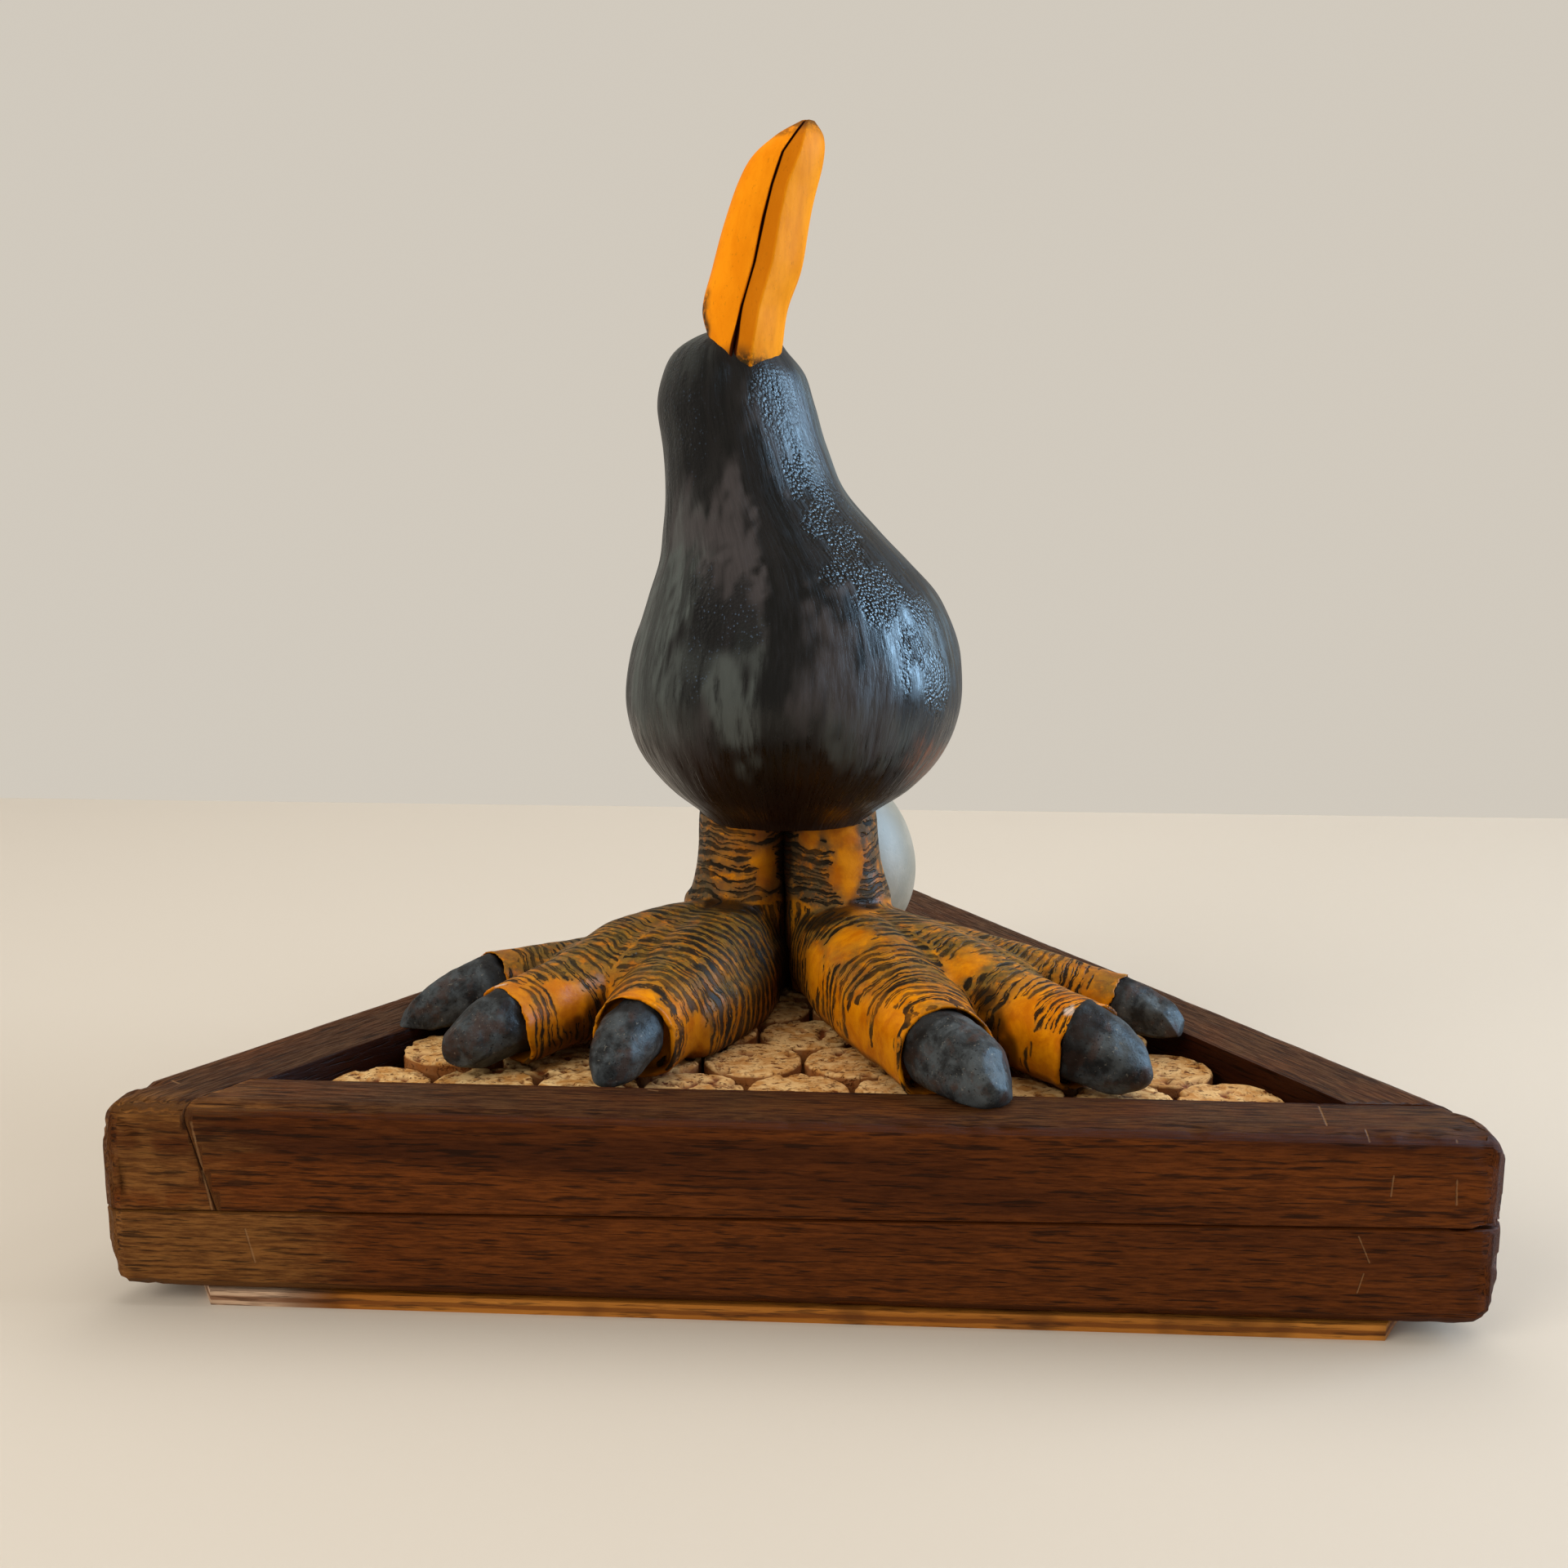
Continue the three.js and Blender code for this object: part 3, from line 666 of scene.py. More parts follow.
def cork(nodes, place):
    """Natural cork: pale tan with red-brown pits and speckle, and painted shade on its sides, down
    between the corks.
    """
    cloud = nodes.noise(place, 230, 5, 0.7, 0.5)
    base = nodes.mix(nodes.step(cloud, 0.36, 0.62), (184, 130, 68), (232, 196, 138))
    base = nodes.over(base, (172, 120, 62), "tone", 0.4)
    speck = nodes.step(nodes.noise(place, 700, 4, 0.75), 0.57, 0.66)
    base = nodes.over(base, (140, 80, 34), speck, 0.7)
    pore = nodes.step(nodes.noise(nodes.stretch(place, (1, 1.8, 1)), 420, 3, 0.65), 0.6, 0.66)
    base = nodes.over(base, (92, 42, 16), pore, 0.9)
    # Painted shade on the cork's sides, down between the corks
    base = nodes.over(base, (126, 70, 32), "side", 0.85)
    base = nodes.over(base, (112, 58, 26), "hole")
    normal = nodes.bump(nodes.minus(cloud, nodes.plus(pore, speck)), 0.5, 0.8)
    return dict(Base_Color=base, Normal=normal)


def egg_glaze(nodes, place):
    """Pale blue-grey matt shell with faint speckle."""
    cloud = nodes.noise(place, 70, 4, 0.6)
    base = nodes.mix(nodes.step(cloud, 0.35, 0.65), (134, 130, 116), (152, 146, 132))
    speck = nodes.step(nodes.noise(place, 900, 2, 0.5), 0.68, 0.74)
    base = nodes.over(base, (104, 104, 94), speck, 0.35)
    normal = nodes.bump(nodes.noise(place, 1400, 2, 0.5), 0.12, 0.5)
    return dict(Base_Color=base, Normal=normal)


BLACK_GLAZE = material("black_brushed_glaze", black_glaze, IOR=1.5, Specular_IOR_Level=0.36)
BEAK_GLAZE = material("orange_beak_glaze", beak_glaze, Roughness=0.5, IOR=1.45, Specular_IOR_Level=0.04)
FOOT_GLAZE = material("lined_orange_glaze", foot_glaze, Roughness=0.45, IOR=1.48, Specular_IOR_Level=0.1)
CLAW_GLAZE = material("slate_claw_glaze", claw_glaze, Metallic=0.15, IOR=1.5, Specular_IOR_Level=0.15)
RAIL_WOOD = material("dark_old_hardwood", rail_wood, Roughness=0.52, IOR=1.48, Specular_IOR_Level=0.1)
PLYWOOD = material("bare_plywood", plywood, Roughness=0.75, Specular_IOR_Level=0.25)
CORK = material("natural_cork", cork, Roughness=0.85, Specular_IOR_Level=0.2)
EGG_GLAZE = material("pale_egg_glaze", egg_glaze, Roughness=0.55)


# Body and head

# The body's stations from the bottom up: x, y, z, half width and half depth
BODY = [
    [-6, 22, 89.4, 21.2, 21],
    [-6, 22, 92.5, 24.4, 23.5],
    [-5.6, 22, 98.5, 33, 31],
    [-4.9, 22, 107.5, 40.2, 39.5],
    [-4.6, 22, 117, 43.6, 44],
    [-4.3, 22, 126, 44.2, 45.5],
    [-4.2, 23, 136, 42.4, 44],
    [-4.9, 24, 147, 38.4, 40.5],
    [-7.5, 26, 157, 32.7, 36],
    [-11, 28, 165, 28.4, 31.5],
    [-15.3, 30, 175, 23.7, 27],
    [-18.1, 32, 186, 21.5, 23.8],
    [-20.6, 33, 197, 20.6, 22],
    [-21.3, 34, 205, 18.9, 20],
    [-22, 34, 211, 15, 16.5],
    [-20.5, 34, 215, 10.5, 12],
    [-19.5, 34, 217.5, 4, 5],
]
# Where the glaze changes on the body's front, as soft upright patches: the middle's x and height,
# half width, half height and strength
GREY_BLOOM = [
    [-39, 134, 7, 24, 0.9],
    [-30, 158, 6, 15, 0.9],
    [-22, 129, 7, 10, 0.7],
    [-32, 127, 8, 14, 0.6],
    [-15, 120, 5, 11, 0.7],
    [-34, 116, 5, 9, 0.6],
    [-12, 138, 4, 9, 0.5],
    [16, 116, 9, 10, 0.5],
    [34, 140, 5, 16, 0.6],
    [8, 186, 8, 10, 0.4],
]
MAUVE_BLOOM = [
    [-22, 171, 10, 15, 1.0],
    [-15, 155, 8, 14, 1.0],
    [-29, 168, 6, 10, 0.8],
    [6, 131, 8, 15, 0.9],
    [16, 124, 7, 12, 0.7],
    [-28, 112, 6, 10, 0.5],
    [-10, 193, 7, 8, 0.6],
]
BARE_STROKES = [
    [-14, 183, 4, 9, 1.0],
    [-9, 168, 4, 11, 1.0],
    [-5, 152, 4.5, 13, 1.0],
    [-5, 136, 4, 12, 0.9],
    [-30, 122, 3, 10, 0.7],
    [-27, 190, 10, 17, 1.0],
]
PITTED_RUNS = [
    [-31, 193, 7, 13, 0.6],
    [-9, 200, 6, 8, 0.7],
    [-5, 191, 4, 7, 0.6],
    [-3, 179, 4, 8, 1.0],
    [2, 169, 4, 8, 1.0],
    [9, 160, 5, 7, 1.0],
    [17, 150, 6, 7, 1.0],
    [27, 139, 4, 10, 0.9],
    [31, 128, 3, 9, 0.7],
    [-25, 150, 4, 8, 0.8],
    [-18, 145, 7, 7, 0.9],
    [-26, 138, 4, 8, 0.7],
]
RUST_SPOT = [[30, 108, 5, 7, 0.9]]
# The shallow crease between the head's dark left side and the throat: its top and its bottom
CHEEK_CREASE = np.array([[-19, 14, 208], [-27, 9, 180]])
CREASE_DEPTH = 1.1
CREASE_WIDTH = 3.2
# The brush strokes are laid out as on a cylinder of this radius, and drawn out upwards by so much
STROKE_RADIUS = 34
STROKE_RISE = 0.13


def soft_patches(points, rows, seed):
    """How far each point lies in the patches, from 0 to 1, with ragged upright edges."""
    broad = noise(points * [1, 1, 0.2], 5, seed)
    ragged = 0.4 * broad + 0.5 * noise(points * [1, 1, 0.12], 1.7, seed + 1)
    total = np.zeros(len(points))
    for x, z, wide, high, strength in rows:
        away = np.hypot((points[:, 0] - x) / wide, (points[:, 2] - z) / high) + ragged
        total = np.maximum(total, strength * rise(1.35, 0.65, away))
    return total


def make_body():
    """The body and head as one skin, with the brush strokes, the crease and the glaze's patches."""
    mesh, points, normals = tube_mesh("body", 190, 200, oval_tube(BODY))
    x, y, z = points.T
    axis_x, axis_y, axis_z = np.array(BODY).T[:3]
    angle = np.arctan2(y - np.interp(z, axis_z, axis_y), x - np.interp(z, axis_z, axis_x))
    wound = [STROKE_RADIUS * np.cos(angle), STROKE_RADIUS * np.sin(angle), STROKE_RISE * z]
    around = np.stack(wound, axis=1)
    upright = points * [1, 1, 0.35]
    front = rise(27, 12, y + 3 * noise(points, 9, 8))
    behind = rise(0.0, 0.45, noise(upright, 15, 9)) * (1 - front)
    bare = 1 - soft_patches(points, BARE_STROKES, 14)
    bloom = (front * soft_patches(points, GREY_BLOOM, 10) + 0.8 * behind) * bare
    mauve = front * soft_patches(points, MAUVE_BLOOM, 12) * bare
    mauve += 0.7 * rise(0.05, 0.5, noise(upright, 17, 15)) * (1 - front)
    pits = front * soft_patches(points, PITTED_RUNS, 16)
    pits = np.maximum(pits, 0.8 * rise(0.35, 0.6, noise(points * [1, 1, 0.4], 16, 18)) * (1 - front))
    # Painted shade: how far down towards the body's bottom each point lies
    low = rise(116, 100, z + 0.25 * (x + 8) + 5 * noise(points, 12, 6))
    rust = soft_patches(points, RUST_SPOT, 7)
    lumps = 0.5 * noise(points, 24, 1) + 0.25 * noise(points, 9, 2)
    strokes = 0.12 * noise(around * [1, 1, 1.2], 2.4, 3)
    top, bottom = CHEEK_CREASE
    share = np.clip((points - top) @ (bottom - top) / np.sum((bottom - top) ** 2), 0, 1)
    from_crease = np.linalg.norm((points - top - share[:, None] * (bottom - top)) * [1, 0.5, 1], axis=1)
    crease = CREASE_DEPTH * np.exp(-((from_crease / CREASE_WIDTH) ** 2))
    move_points(mesh, points + normals * (lumps + strokes - crease)[:, None])
    paint(mesh, around=around * MM, bloom=np.clip(bloom, 0, 1), mauve=np.clip(mauve, 0, 1))
    paint(mesh, pits=pits, low=low, rust=rust)
    piece_of("glazed_body", mesh, BLACK_GLAZE, ["bird"])


make_body()


# Beak

# The beak's stations, as the body's
BEAK = [
    [-19, 25.4, 196, 9, 6.5],
    [-17.3, 25.6, 211, 9.2, 9.2],
    [-17.6, 26, 221, 10.9, 9.3],
    [-14.7, 26.5, 231, 11.5, 8.8],
    [-11.5, 27, 245, 10.7, 8.2],
    [-7.4, 27.5, 257, 9.6, 7],
    [-4, 28, 263.5, 6.4, 5],
    [-1.7, 28, 267.5, 1.7, 1.8],
]
# The plane between the beak's front and its back
BEAK_MIDDLE_Y = 26
# Where black glaze has smudged the upper bill's side
MOUTH_CORNER = [-28, 24, 219]
# Where the seam between the bills and the lower bill's ridge lie: height, seam's x, ridge's x
BEAK_LINES = [
    [196, -21.8, -16.8],
    [211, -19.8, -15.0],
    [221, -17.8, -13.2],
    [232, -14.6, -10.0],
    [243, -12.3, -8.2],
    [251, -10.3, -6.4],
    [259, -7.7, -3.2],
    [267.5, -2.2, -1.4],
]
# The beak's section, from its right edge over the back to its left edge: share of half width and
# of half thickness. Then it runs on over the upper bill to the seam at 0, the ridge at 1 and the
# right edge at 2.
BEAK_BACK = [[1.0, 0.1], [0.86, 0.5], [0.45, 0.88], [-0.1, 1.0], [-0.55, 0.82], [-0.88, 0.45], [-1.0, 0.0]]
BEAK_FRONT = [
    [-0.97, -0.3],
    [-0.86, -0.56],
    [-0.64, -0.78],
    [-0.36, -0.92],
    [-0.1, -0.98],
    [-0.035, -0.96],
    [0.0, -0.82],
    [0.07, -0.92],
    [0.16, -0.94],
    [0.5, -1.02],
    [0.88, -1.12],
    [1.0, -1.15],
    [1.1, -1.11],
    [1.42, -0.84],
    [1.72, -0.52],
    [1.93, -0.18],
    [2.0, 0.1],
]


def make_beak():
    """The beak, with the seam between its bills, the lower bill's ridge and its smudges."""
    axis_x, axis_z = np.array(BEAK).T[[0, 2]]
    line_z, seam_x, ridge_x = np.array(BEAK_LINES).T
    section = BEAK_BACK + BEAK_FRONT
    left_edge = (len(BEAK_BACK) - 1) / (len(section) - 1)

    def surface(turns, shares):
        row, cap = closed_rows(BEAK, shares, BEAK_CAP)
        u, v = spline(section, turns).T
        seam = (np.interp(row[:, 2], line_z, seam_x) - row[:, 0]) / row[:, 3]
        ridge = (np.interp(row[:, 2], line_z, ridge_x) - row[:, 0]) / row[:, 3]
        left = seam + u * (1 + seam)
        middle = seam + u * (ridge - seam)
        right = ridge + (u - 1) * (1 - ridge)
        front = np.where(u < 0, left, np.where(u < 1, middle, right))
        u = np.where(turns > left_edge, front, u)
        x = row[:, 0] + u * row[:, 3] * cap
        y = row[:, 1] + v * row[:, 4] * cap
        return np.stack([x, y, row[:, 2]], axis=1)

    mesh, points, normals = tube_mesh("beak", 230, 150, surface)
    x, y, z = points.T
    front = y < BEAK_MIDDLE_Y
    apart = x - np.interp(z, line_z, seam_x)
    wide = 0.42 + 0.75 * rise(220, 211, z) + 0.12 * noise(points, 5, 13)
    paint(mesh, seam=np.exp(-((apart / wide) ** 2)) * front)
    back_side = rise(2, -2, x - np.interp(z, axis_z, axis_x))
    paint(mesh, upper=np.where(front, rise(0.3, -0.3, apart), back_side))
    past_ridge = x - np.interp(z, line_z, ridge_x)
    # Painted shade: the lower bill's facet between the seam and the ridge
    paint(mesh, facet=rise(0.5, -0.5, past_ridge) * rise(-0.2, 0.4, apart) * front)
    height = z + 2 * noise(points, 3, 11)
    root = rise(213, 208, height + 3 * rise(-4, 4, past_ridge))
    tip = 0.8 * rise(262, 267, height)
    corner = np.linalg.norm((points - MOUTH_CORNER) * [1, 0.5, 0.35], axis=1)
    corner = rise(3.6, 1.2, corner + 0.8 * noise(points, 3, 19))
    paint(mesh, smudge=np.max([root, tip, corner], axis=0))
    move_points(mesh, points + normals * (0.15 * noise(points, 9, 12))[:, None])
    piece_of("beak", mesh, BEAK_GLAZE, ["bird"])


make_beak()


# Legs, toes and claws

# Where both legs stand in depth, and the x at which they meet
LEG_Y = 22
LEGS_MEET = -6.3
# For each leg: its outward direction along x, how much of it the cut lines cover, and how dark its
# toes' sides are low down
OUTWARD = {"right": 1, "left": -1}
LINE_COVER = {"right": 0.7, "left": 0.9}
FLANK_SHADE = {"right": 0.28, "left": 0.5}
# The grain of the skin round a leg and its toes, and how many times it is smoothed
LEG_GRAIN = 0.72
LEG_SMOOTHING = 3
# The legs' stations from the ankle up, as the body's
LEGS = {
    "right": [
        [5.6, LEG_Y, 41, 12.6, 10],
        [6.4, LEG_Y, 52, 13.6, 12],
        [7.4, LEG_Y, 66, 14.4, 13.6],
        [6.2, LEG_Y, 74, 13.6, 13],
        [5.4, LEG_Y, 80, 13, 12.6],
        [4.8, LEG_Y, 96, 12.2, 12.4],
    ],
    "left": [
        [-17.8, LEG_Y, 41, 11.6, 10],
        [-18.8, LEG_Y, 52, 12.6, 12],
        [-20.2, LEG_Y, 65.5, 14, 13.4],
        [-19.2, LEG_Y, 70, 12.8, 12.8],
        [-18.7, LEG_Y, 76, 12.2, 12.4],
        [-17.6, LEG_Y, 96, 11.4, 12.4],
    ],
}
# The toes: the stations of the path are x, y, z, half width and half height. The claw has a tip, a
# size as a share of the toe's, and a share of that size at its tip.
TOES = {
    "right_front": {
        "path": [
            [5.5, 23, 55.5, 12.5, 13],
            [15.5, -9, 55.5, 14, 13.6],
            [24.2, -31, 54, 13.8, 12],
            [34, -62, 53, 10.8, 10.4],
        ],
        "tip": [45.2, -80.5, 49.2],
        "claw": 0.86,
        "blunt": 0.66,
    },
    "right_middle": {
        "path": [
            [7, 22, 55.5, 12, 12.5],
            [34, -12, 56, 12, 11.8],
            [50, -34, 54, 11, 10.6],
            [66.5, -55, 52.4, 10, 9.8],
        ],
        "tip": [79.2, -61, 46.4],
        "claw": 0.92,
        "blunt": 0.5,
    },
    "right_back": {
        "path": [
            [8, 24, 55.5, 12, 12],
            [30, 14, 54, 10.5, 9.8],
            [54, -4, 54, 8.4, 8.2],
            [78.5, -20.5, 51.9, 7.2, 7.2],
        ],
        "tip": [92.8, -29.2, 47.8],
        "claw": 0.88,
        "blunt": 0.45,
    },
    "left_front": {
        "path": [
            [-18.5, 23, 55.5, 12, 13],
            [-26, -10, 55.5, 13.6, 12.8],
            [-32.5, -33, 53.6, 12, 11.2],
            [-37.3, -54.5, 52.4, 9.8, 9.6],
        ],
        "tip": [-42, -69.6, 46.6],
        "claw": 0.79,
        "blunt": 0.5,
    },
    "left_middle": {
        "path": [
            [-18.5, 22, 55.5, 12, 12.5],
            [-42, -9, 57.4, 11.5, 12],
            [-55.5, -31, 54.6, 10.2, 10],
            [-68.5, -47, 52.2, 9.3, 9],
        ],
        "tip": [-80.5, -56.5, 46.8],
        "claw": 0.92,
        "blunt": 0.5,
    },
    "left_back": {
        "path": [
            [-19, 24, 55.5, 11.5, 11.5],
            [-38, 12, 54, 10, 9.4],
            [-58, -3, 52.8, 8.8, 8.4],
            [-78, -20, 53.4, 8.3, 8.4],
        ],
        "tip": [-98.5, -33.5, 47.2],
        "claw": 0.88,
        "blunt": 0.34,
    },
}
# The power that squares the lower half of a toe, and that of a claw
TOE_SOLE = 0.55
CLAW_SOLE = 0.8
# How deep a claw's root sits in its toe, and how many flats it has
CLAW_ROOT = 6
CLAW_FLATS = 8
# A toe's front end: share round the tube, share of the path, share of size and raggedness. It
# flares into a torn lip, and then turns back inside to make the socket that holds the claw.
TOE_FRONT = [
    [0.0, 0.0, 1.0, 0.0],
    [0.7, 0.87, 1.0, 0.0],
    [0.78, 0.95, 0.99, 0.5],
    [0.82, 0.985, 1.03, 1.0],
    [0.845, 1.0, 1.03, 1.0],
    [0.86, 1.0, 0.98, 1.0],
    [0.88, 0.99, 0.92, 0.9],
    [0.93, 0.95, 0.88, 0.3],
    [0.99, 0.9, 0.84, 0.0],
    [1.0, 0.9, 0.0, 0.0],
]
# The patches that stay free of lines, each a middle and a radius
CLEAR_PATCHES = {
    "right": [
        ([10, 10, 78], 4.6),
        ([0, 10, 86.5], 3),
        ([6, 9, 86.5], 3),
        ([12, 10, 86.5], 3),
        ([13, 2, 69], 5),
        ([11, -18, 66], 6),
        ([3, -12, 58], 5),
        ([40, -30, 62], 5),
        ([14, -42, 50], 6),
        ([21, -57, 50], 6),
        ([51, -50, 57], 5),
        ([56, -57, 50], 5),
    ],
    "left": [
        ([-11, 12, 76], 3.6),
        ([-24, -44, 50], 4.5),
        ([-35, -53, 60], 3.5),
        ([-54, -43, 57], 4.5),
    ],
}
# Where the glaze is chipped to the pale clay: middle and radius
PALE_CHIPS = {
    "right": [([46.5, -62, 61], 2), ([44, -58, 63], 1.3), ([62, -56, 61], 1.2), ([27, -68, 50], 1.4)],
    "left": [([-70, -44, 61], 0.9)],
}
# Painted shade between two toes, where some black glaze has run together too: middle and radius
DARK_GAPS = {
    "right": [([44, -42, 58.5], 3.6), ([46, -46.5, 54], 4.5), ([48, -48, 48.5], 5)],
    "left": [([-48.5, -38, 52], 4.5), ([-52, -43, 48], 5.5), ([-57, -47, 46], 4.5)],
}
# The painted shade in the crease round the front of each ankle, from the inner side out
ANKLE_CREASES = {
    "right": [[-1.5, 5, 63.5], [2.6, 1.9, 65.6], [6.8, 0.9, 67.9], [12, 4.9, 69], [17.2, 12.3, 68.1]],
    "left": [[-12.5, 6, 66.5], [-19, 6.1, 68.2], [-26, 9.5, 68]],
}
# The webs that fill the arches between the toes, as paths like the toes'
WEBS = {
    "right": [
        [[7, 22, 55, 13, 12.5], [25, -6, 55.5, 14, 12.4], [37, -24, 54, 11, 10.6], [42, -34, 52, 6, 7]],
        [[8, 23, 55, 12, 12], [32, 4, 54.5, 11, 10.4], [50, -14, 53, 9, 9], [56, -22, 51, 5, 6]],
    ],
    "left": [
        [
            [-18.5, 22, 55, 13, 12.5],
            [-34, -6, 56, 14, 12.4],
            [-43, -24, 54.5, 11.5, 11],
            [-47, -34, 52, 6, 7],
        ],
        [[-19, 23, 55, 12, 12], [-42, 2, 54.5, 11, 10.4], [-58, -14, 53.5, 8, 8.6], [-64, -24, 51.5, 5, 6]],
        [[-16, 22, 52, 11, 11], [-20, -6, 51, 12, 11], [-25, -30, 50, 9, 9.5], [-28, -44, 49, 5, 6.5]],
    ],
}
# How far from the ankle a side toe's own lines begin
ARCH_REACH = 38


def along_toe(points, path):
    """How far along a toe each point lies, and how far off its middle line, in half widths."""
    rows = np.array(path)
    way = np.zeros(len(points))
    nearest = np.full(len(points), np.inf)
    start = 0
    for first, last in zip(rows[:-1], rows[1:]):
        length = np.linalg.norm(last[:3] - first[:3])
        ahead = (last[:3] - first[:3]) / length
        here = (points - first[:3]) @ ahead
        held = np.clip(here, 0, length)
        off = np.linalg.norm(points - first[:3] - held[:, None] * ahead, axis=1) / first[3]
        way = np.where(off < nearest, start + np.clip(here, 0, length + 9), way)
        nearest = np.minimum(off, nearest)
        start += length
    return way, nearest


def toes_of(side):
    """The toes of one foot by their names."""
    return {name: toe for name, toe in TOES.items() if name.startswith(side)}


def paint_line_ways(mesh, side, points):
    """Paints how far each point lies down the leg, from the front claw and along its own side toe,
    and which of the three rules the cut lines there."""
    sideways = points[:, 0] - LEGS[side][2][0]
    from_leg = np.hypot(sideways, points[:, 1] - LEG_Y)
    leg_share = rise(66, 69, points[:, 2] + 1.5 * noise(points, 7, 28)) * rise(20, 17, from_leg)
    claw = np.array(TOES[f"{side}_front"]["path"][-1][:3])
    toe_way = np.zeros(len(points))
    toe_share = np.zeros(len(points))
    found = {name: along_toe(points, toe["path"]) for name, toe in toes_of(side).items()}
    for name, (way, off) in found.items():
        if name.endswith("front"):
            continue
        others = np.min([found[other][1] for other in found if other != name], axis=0)
        share = rise(0.03, -0.1, off - others) * rise(ARCH_REACH - 3, ARCH_REACH + 3, way)
        toe_way = np.where(off < others, way, toe_way)
        toe_share = np.maximum(toe_share, share)
    paint(mesh, leg_way=points[:, 2] - 0.008 * sideways**2)
    paint(mesh, arch_way=np.linalg.norm(points - claw, axis=1), toe_way=toe_way)
    paint(mesh, leg_share=leg_share, toe_share=toe_share)
    return leg_share


def paint_cover(mesh, side, points, normals, leg_share):
    """Paints how thickly the cut lines lie and where the grey-olive stain is."""
    ragged = 2.4 * noise(points, 5, 41) + 1.4 * noise(points, 2.2, 43)
    clear = spots(points, CLEAR_PATCHES[side], ragged, 1.7, 0.3, stretch=(1.1, 1, 0.75))
    claws = [np.array(toe["path"][-1][:3]) for toe in toes_of(side).values()]
    to_claw = np.min([np.linalg.norm(points - place, axis=1) for place in claws], axis=0)
    near_claw = rise(21, 12, to_claw)
    shown = LINE_COVER[side] + 0.6 * noise(points, 11, 42) + 0.3 * near_claw - 1.5 * rise(11, 9, to_claw)
    under = rise(-0.1, -0.6, normals[:, 2])
    upward = rise(-0.1, 0.7, normals[:, 2]) * rise(-66, -25, points[:, 1])
    outer = (points[:, 0] - LEGS[side][2][0]) * OUTWARD[side]
    on_leg = leg_share * (0.8 + 0.3 * rise(-4, 10, outer))
    wash = np.maximum(0.85 * upward, on_leg) + 0.1 + 0.4 * noise(points, 11, 25) - 0.25 * near_claw
    paint(mesh, cover=shown - 1.9 * clear - 0.5 * under, wash=np.clip(wash, 0, 1) * (1 - 0.9 * clear))


def paint_shade(mesh, side, points, normals):
    """Paints shade: between the legs, low down, under and between the toes, and in the ankle's crease,
    with some black glaze gathered under and between the toes. Chips in the glaze are painted too."""
    apart = (points[:, 0] - LEGS_MEET) * OUTWARD[side]
    # Painted shade between the legs, on their inner sides, under the toes, low down and on the flanks
    between = rise(3.4, 0.8, apart + 0.9 * noise(points, 4, 27)) * (points[:, 1] < 30)
    inner_side = 0.6 * rise(0.1, -0.9, normals[:, 0] * OUTWARD[side]) * rise(11, 3, apart)
    under = 0.75 * rise(-0.1, -0.6, normals[:, 2])
    low = 0.7 * rise(REST + 5, REST + 1, points[:, 2] + 1.5 * noise(points, 5, 26))
    flank = FLANK_SHADE[side] * rise(REST + 17, REST + 4, points[:, 2])
    bends = spline(ANKLE_CREASES[side], np.linspace(0, 1, 60))
    away = np.min([np.linalg.norm((points - bend) * [1, 0.2, 1], axis=1) for bend in bends], axis=0)
    # Painted shade along the ankle's crease
    ankle = 0.9 * rise(1.7, 0.8, away + 0.7 * noise(points, 3, 33))
    # Painted shade between the toes, with some black glaze run together
    gaps = 0.85 * spots(points, DARK_GAPS[side], 1.6 * noise(points, 2.5, 34), 1.3, 0.6)
    paint(mesh, shade=np.max([between, inner_side, under, low, flank, ankle, gaps], axis=0))
    paint(mesh, pale=spots(points, PALE_CHIPS[side], 1.2 * noise(points, 1.6, 29), 1.2, 0.8))


def make_leg(side):
    """A leg with its toes and their webs, as one skin."""
    bm = bmesh.new()
    skin(bm, 72, 60, oval_tube(LEGS[side]))
    for number, (name, toe) in enumerate(TOES.items()):
        if name.startswith(side):
            surface = limb_tube(toe["path"], TOE_SOLE, LIMB_START, front=TOE_FRONT, chance=number * 1.7)
            skin(bm, 96, 150, surface)
    for web in WEBS[side]:
        skin(bm, 60, 60, limb_tube(web, TOE_SOLE, LIMB_START, end=0.2))
    mesh = remeshed(bm, LEG_GRAIN, LEG_SMOOTHING)
    points, normals = points_of(mesh)
    leg_share = paint_line_ways(mesh, side, points)
    paint_cover(mesh, side, points, normals, leg_share)
    paint_shade(mesh, side, points, normals)
    lumps = 0.35 * noise(points, 10, 22) + 0.2 * noise(points, 4, 23)
    moved = points + normals * lumps[:, None]
    moved[:, 2] = np.maximum(moved[:, 2], REST)
    move_points(mesh, moved)
    piece_of(f"{side}_leg_and_toes", mesh, FOOT_GLAZE, ["bird"])


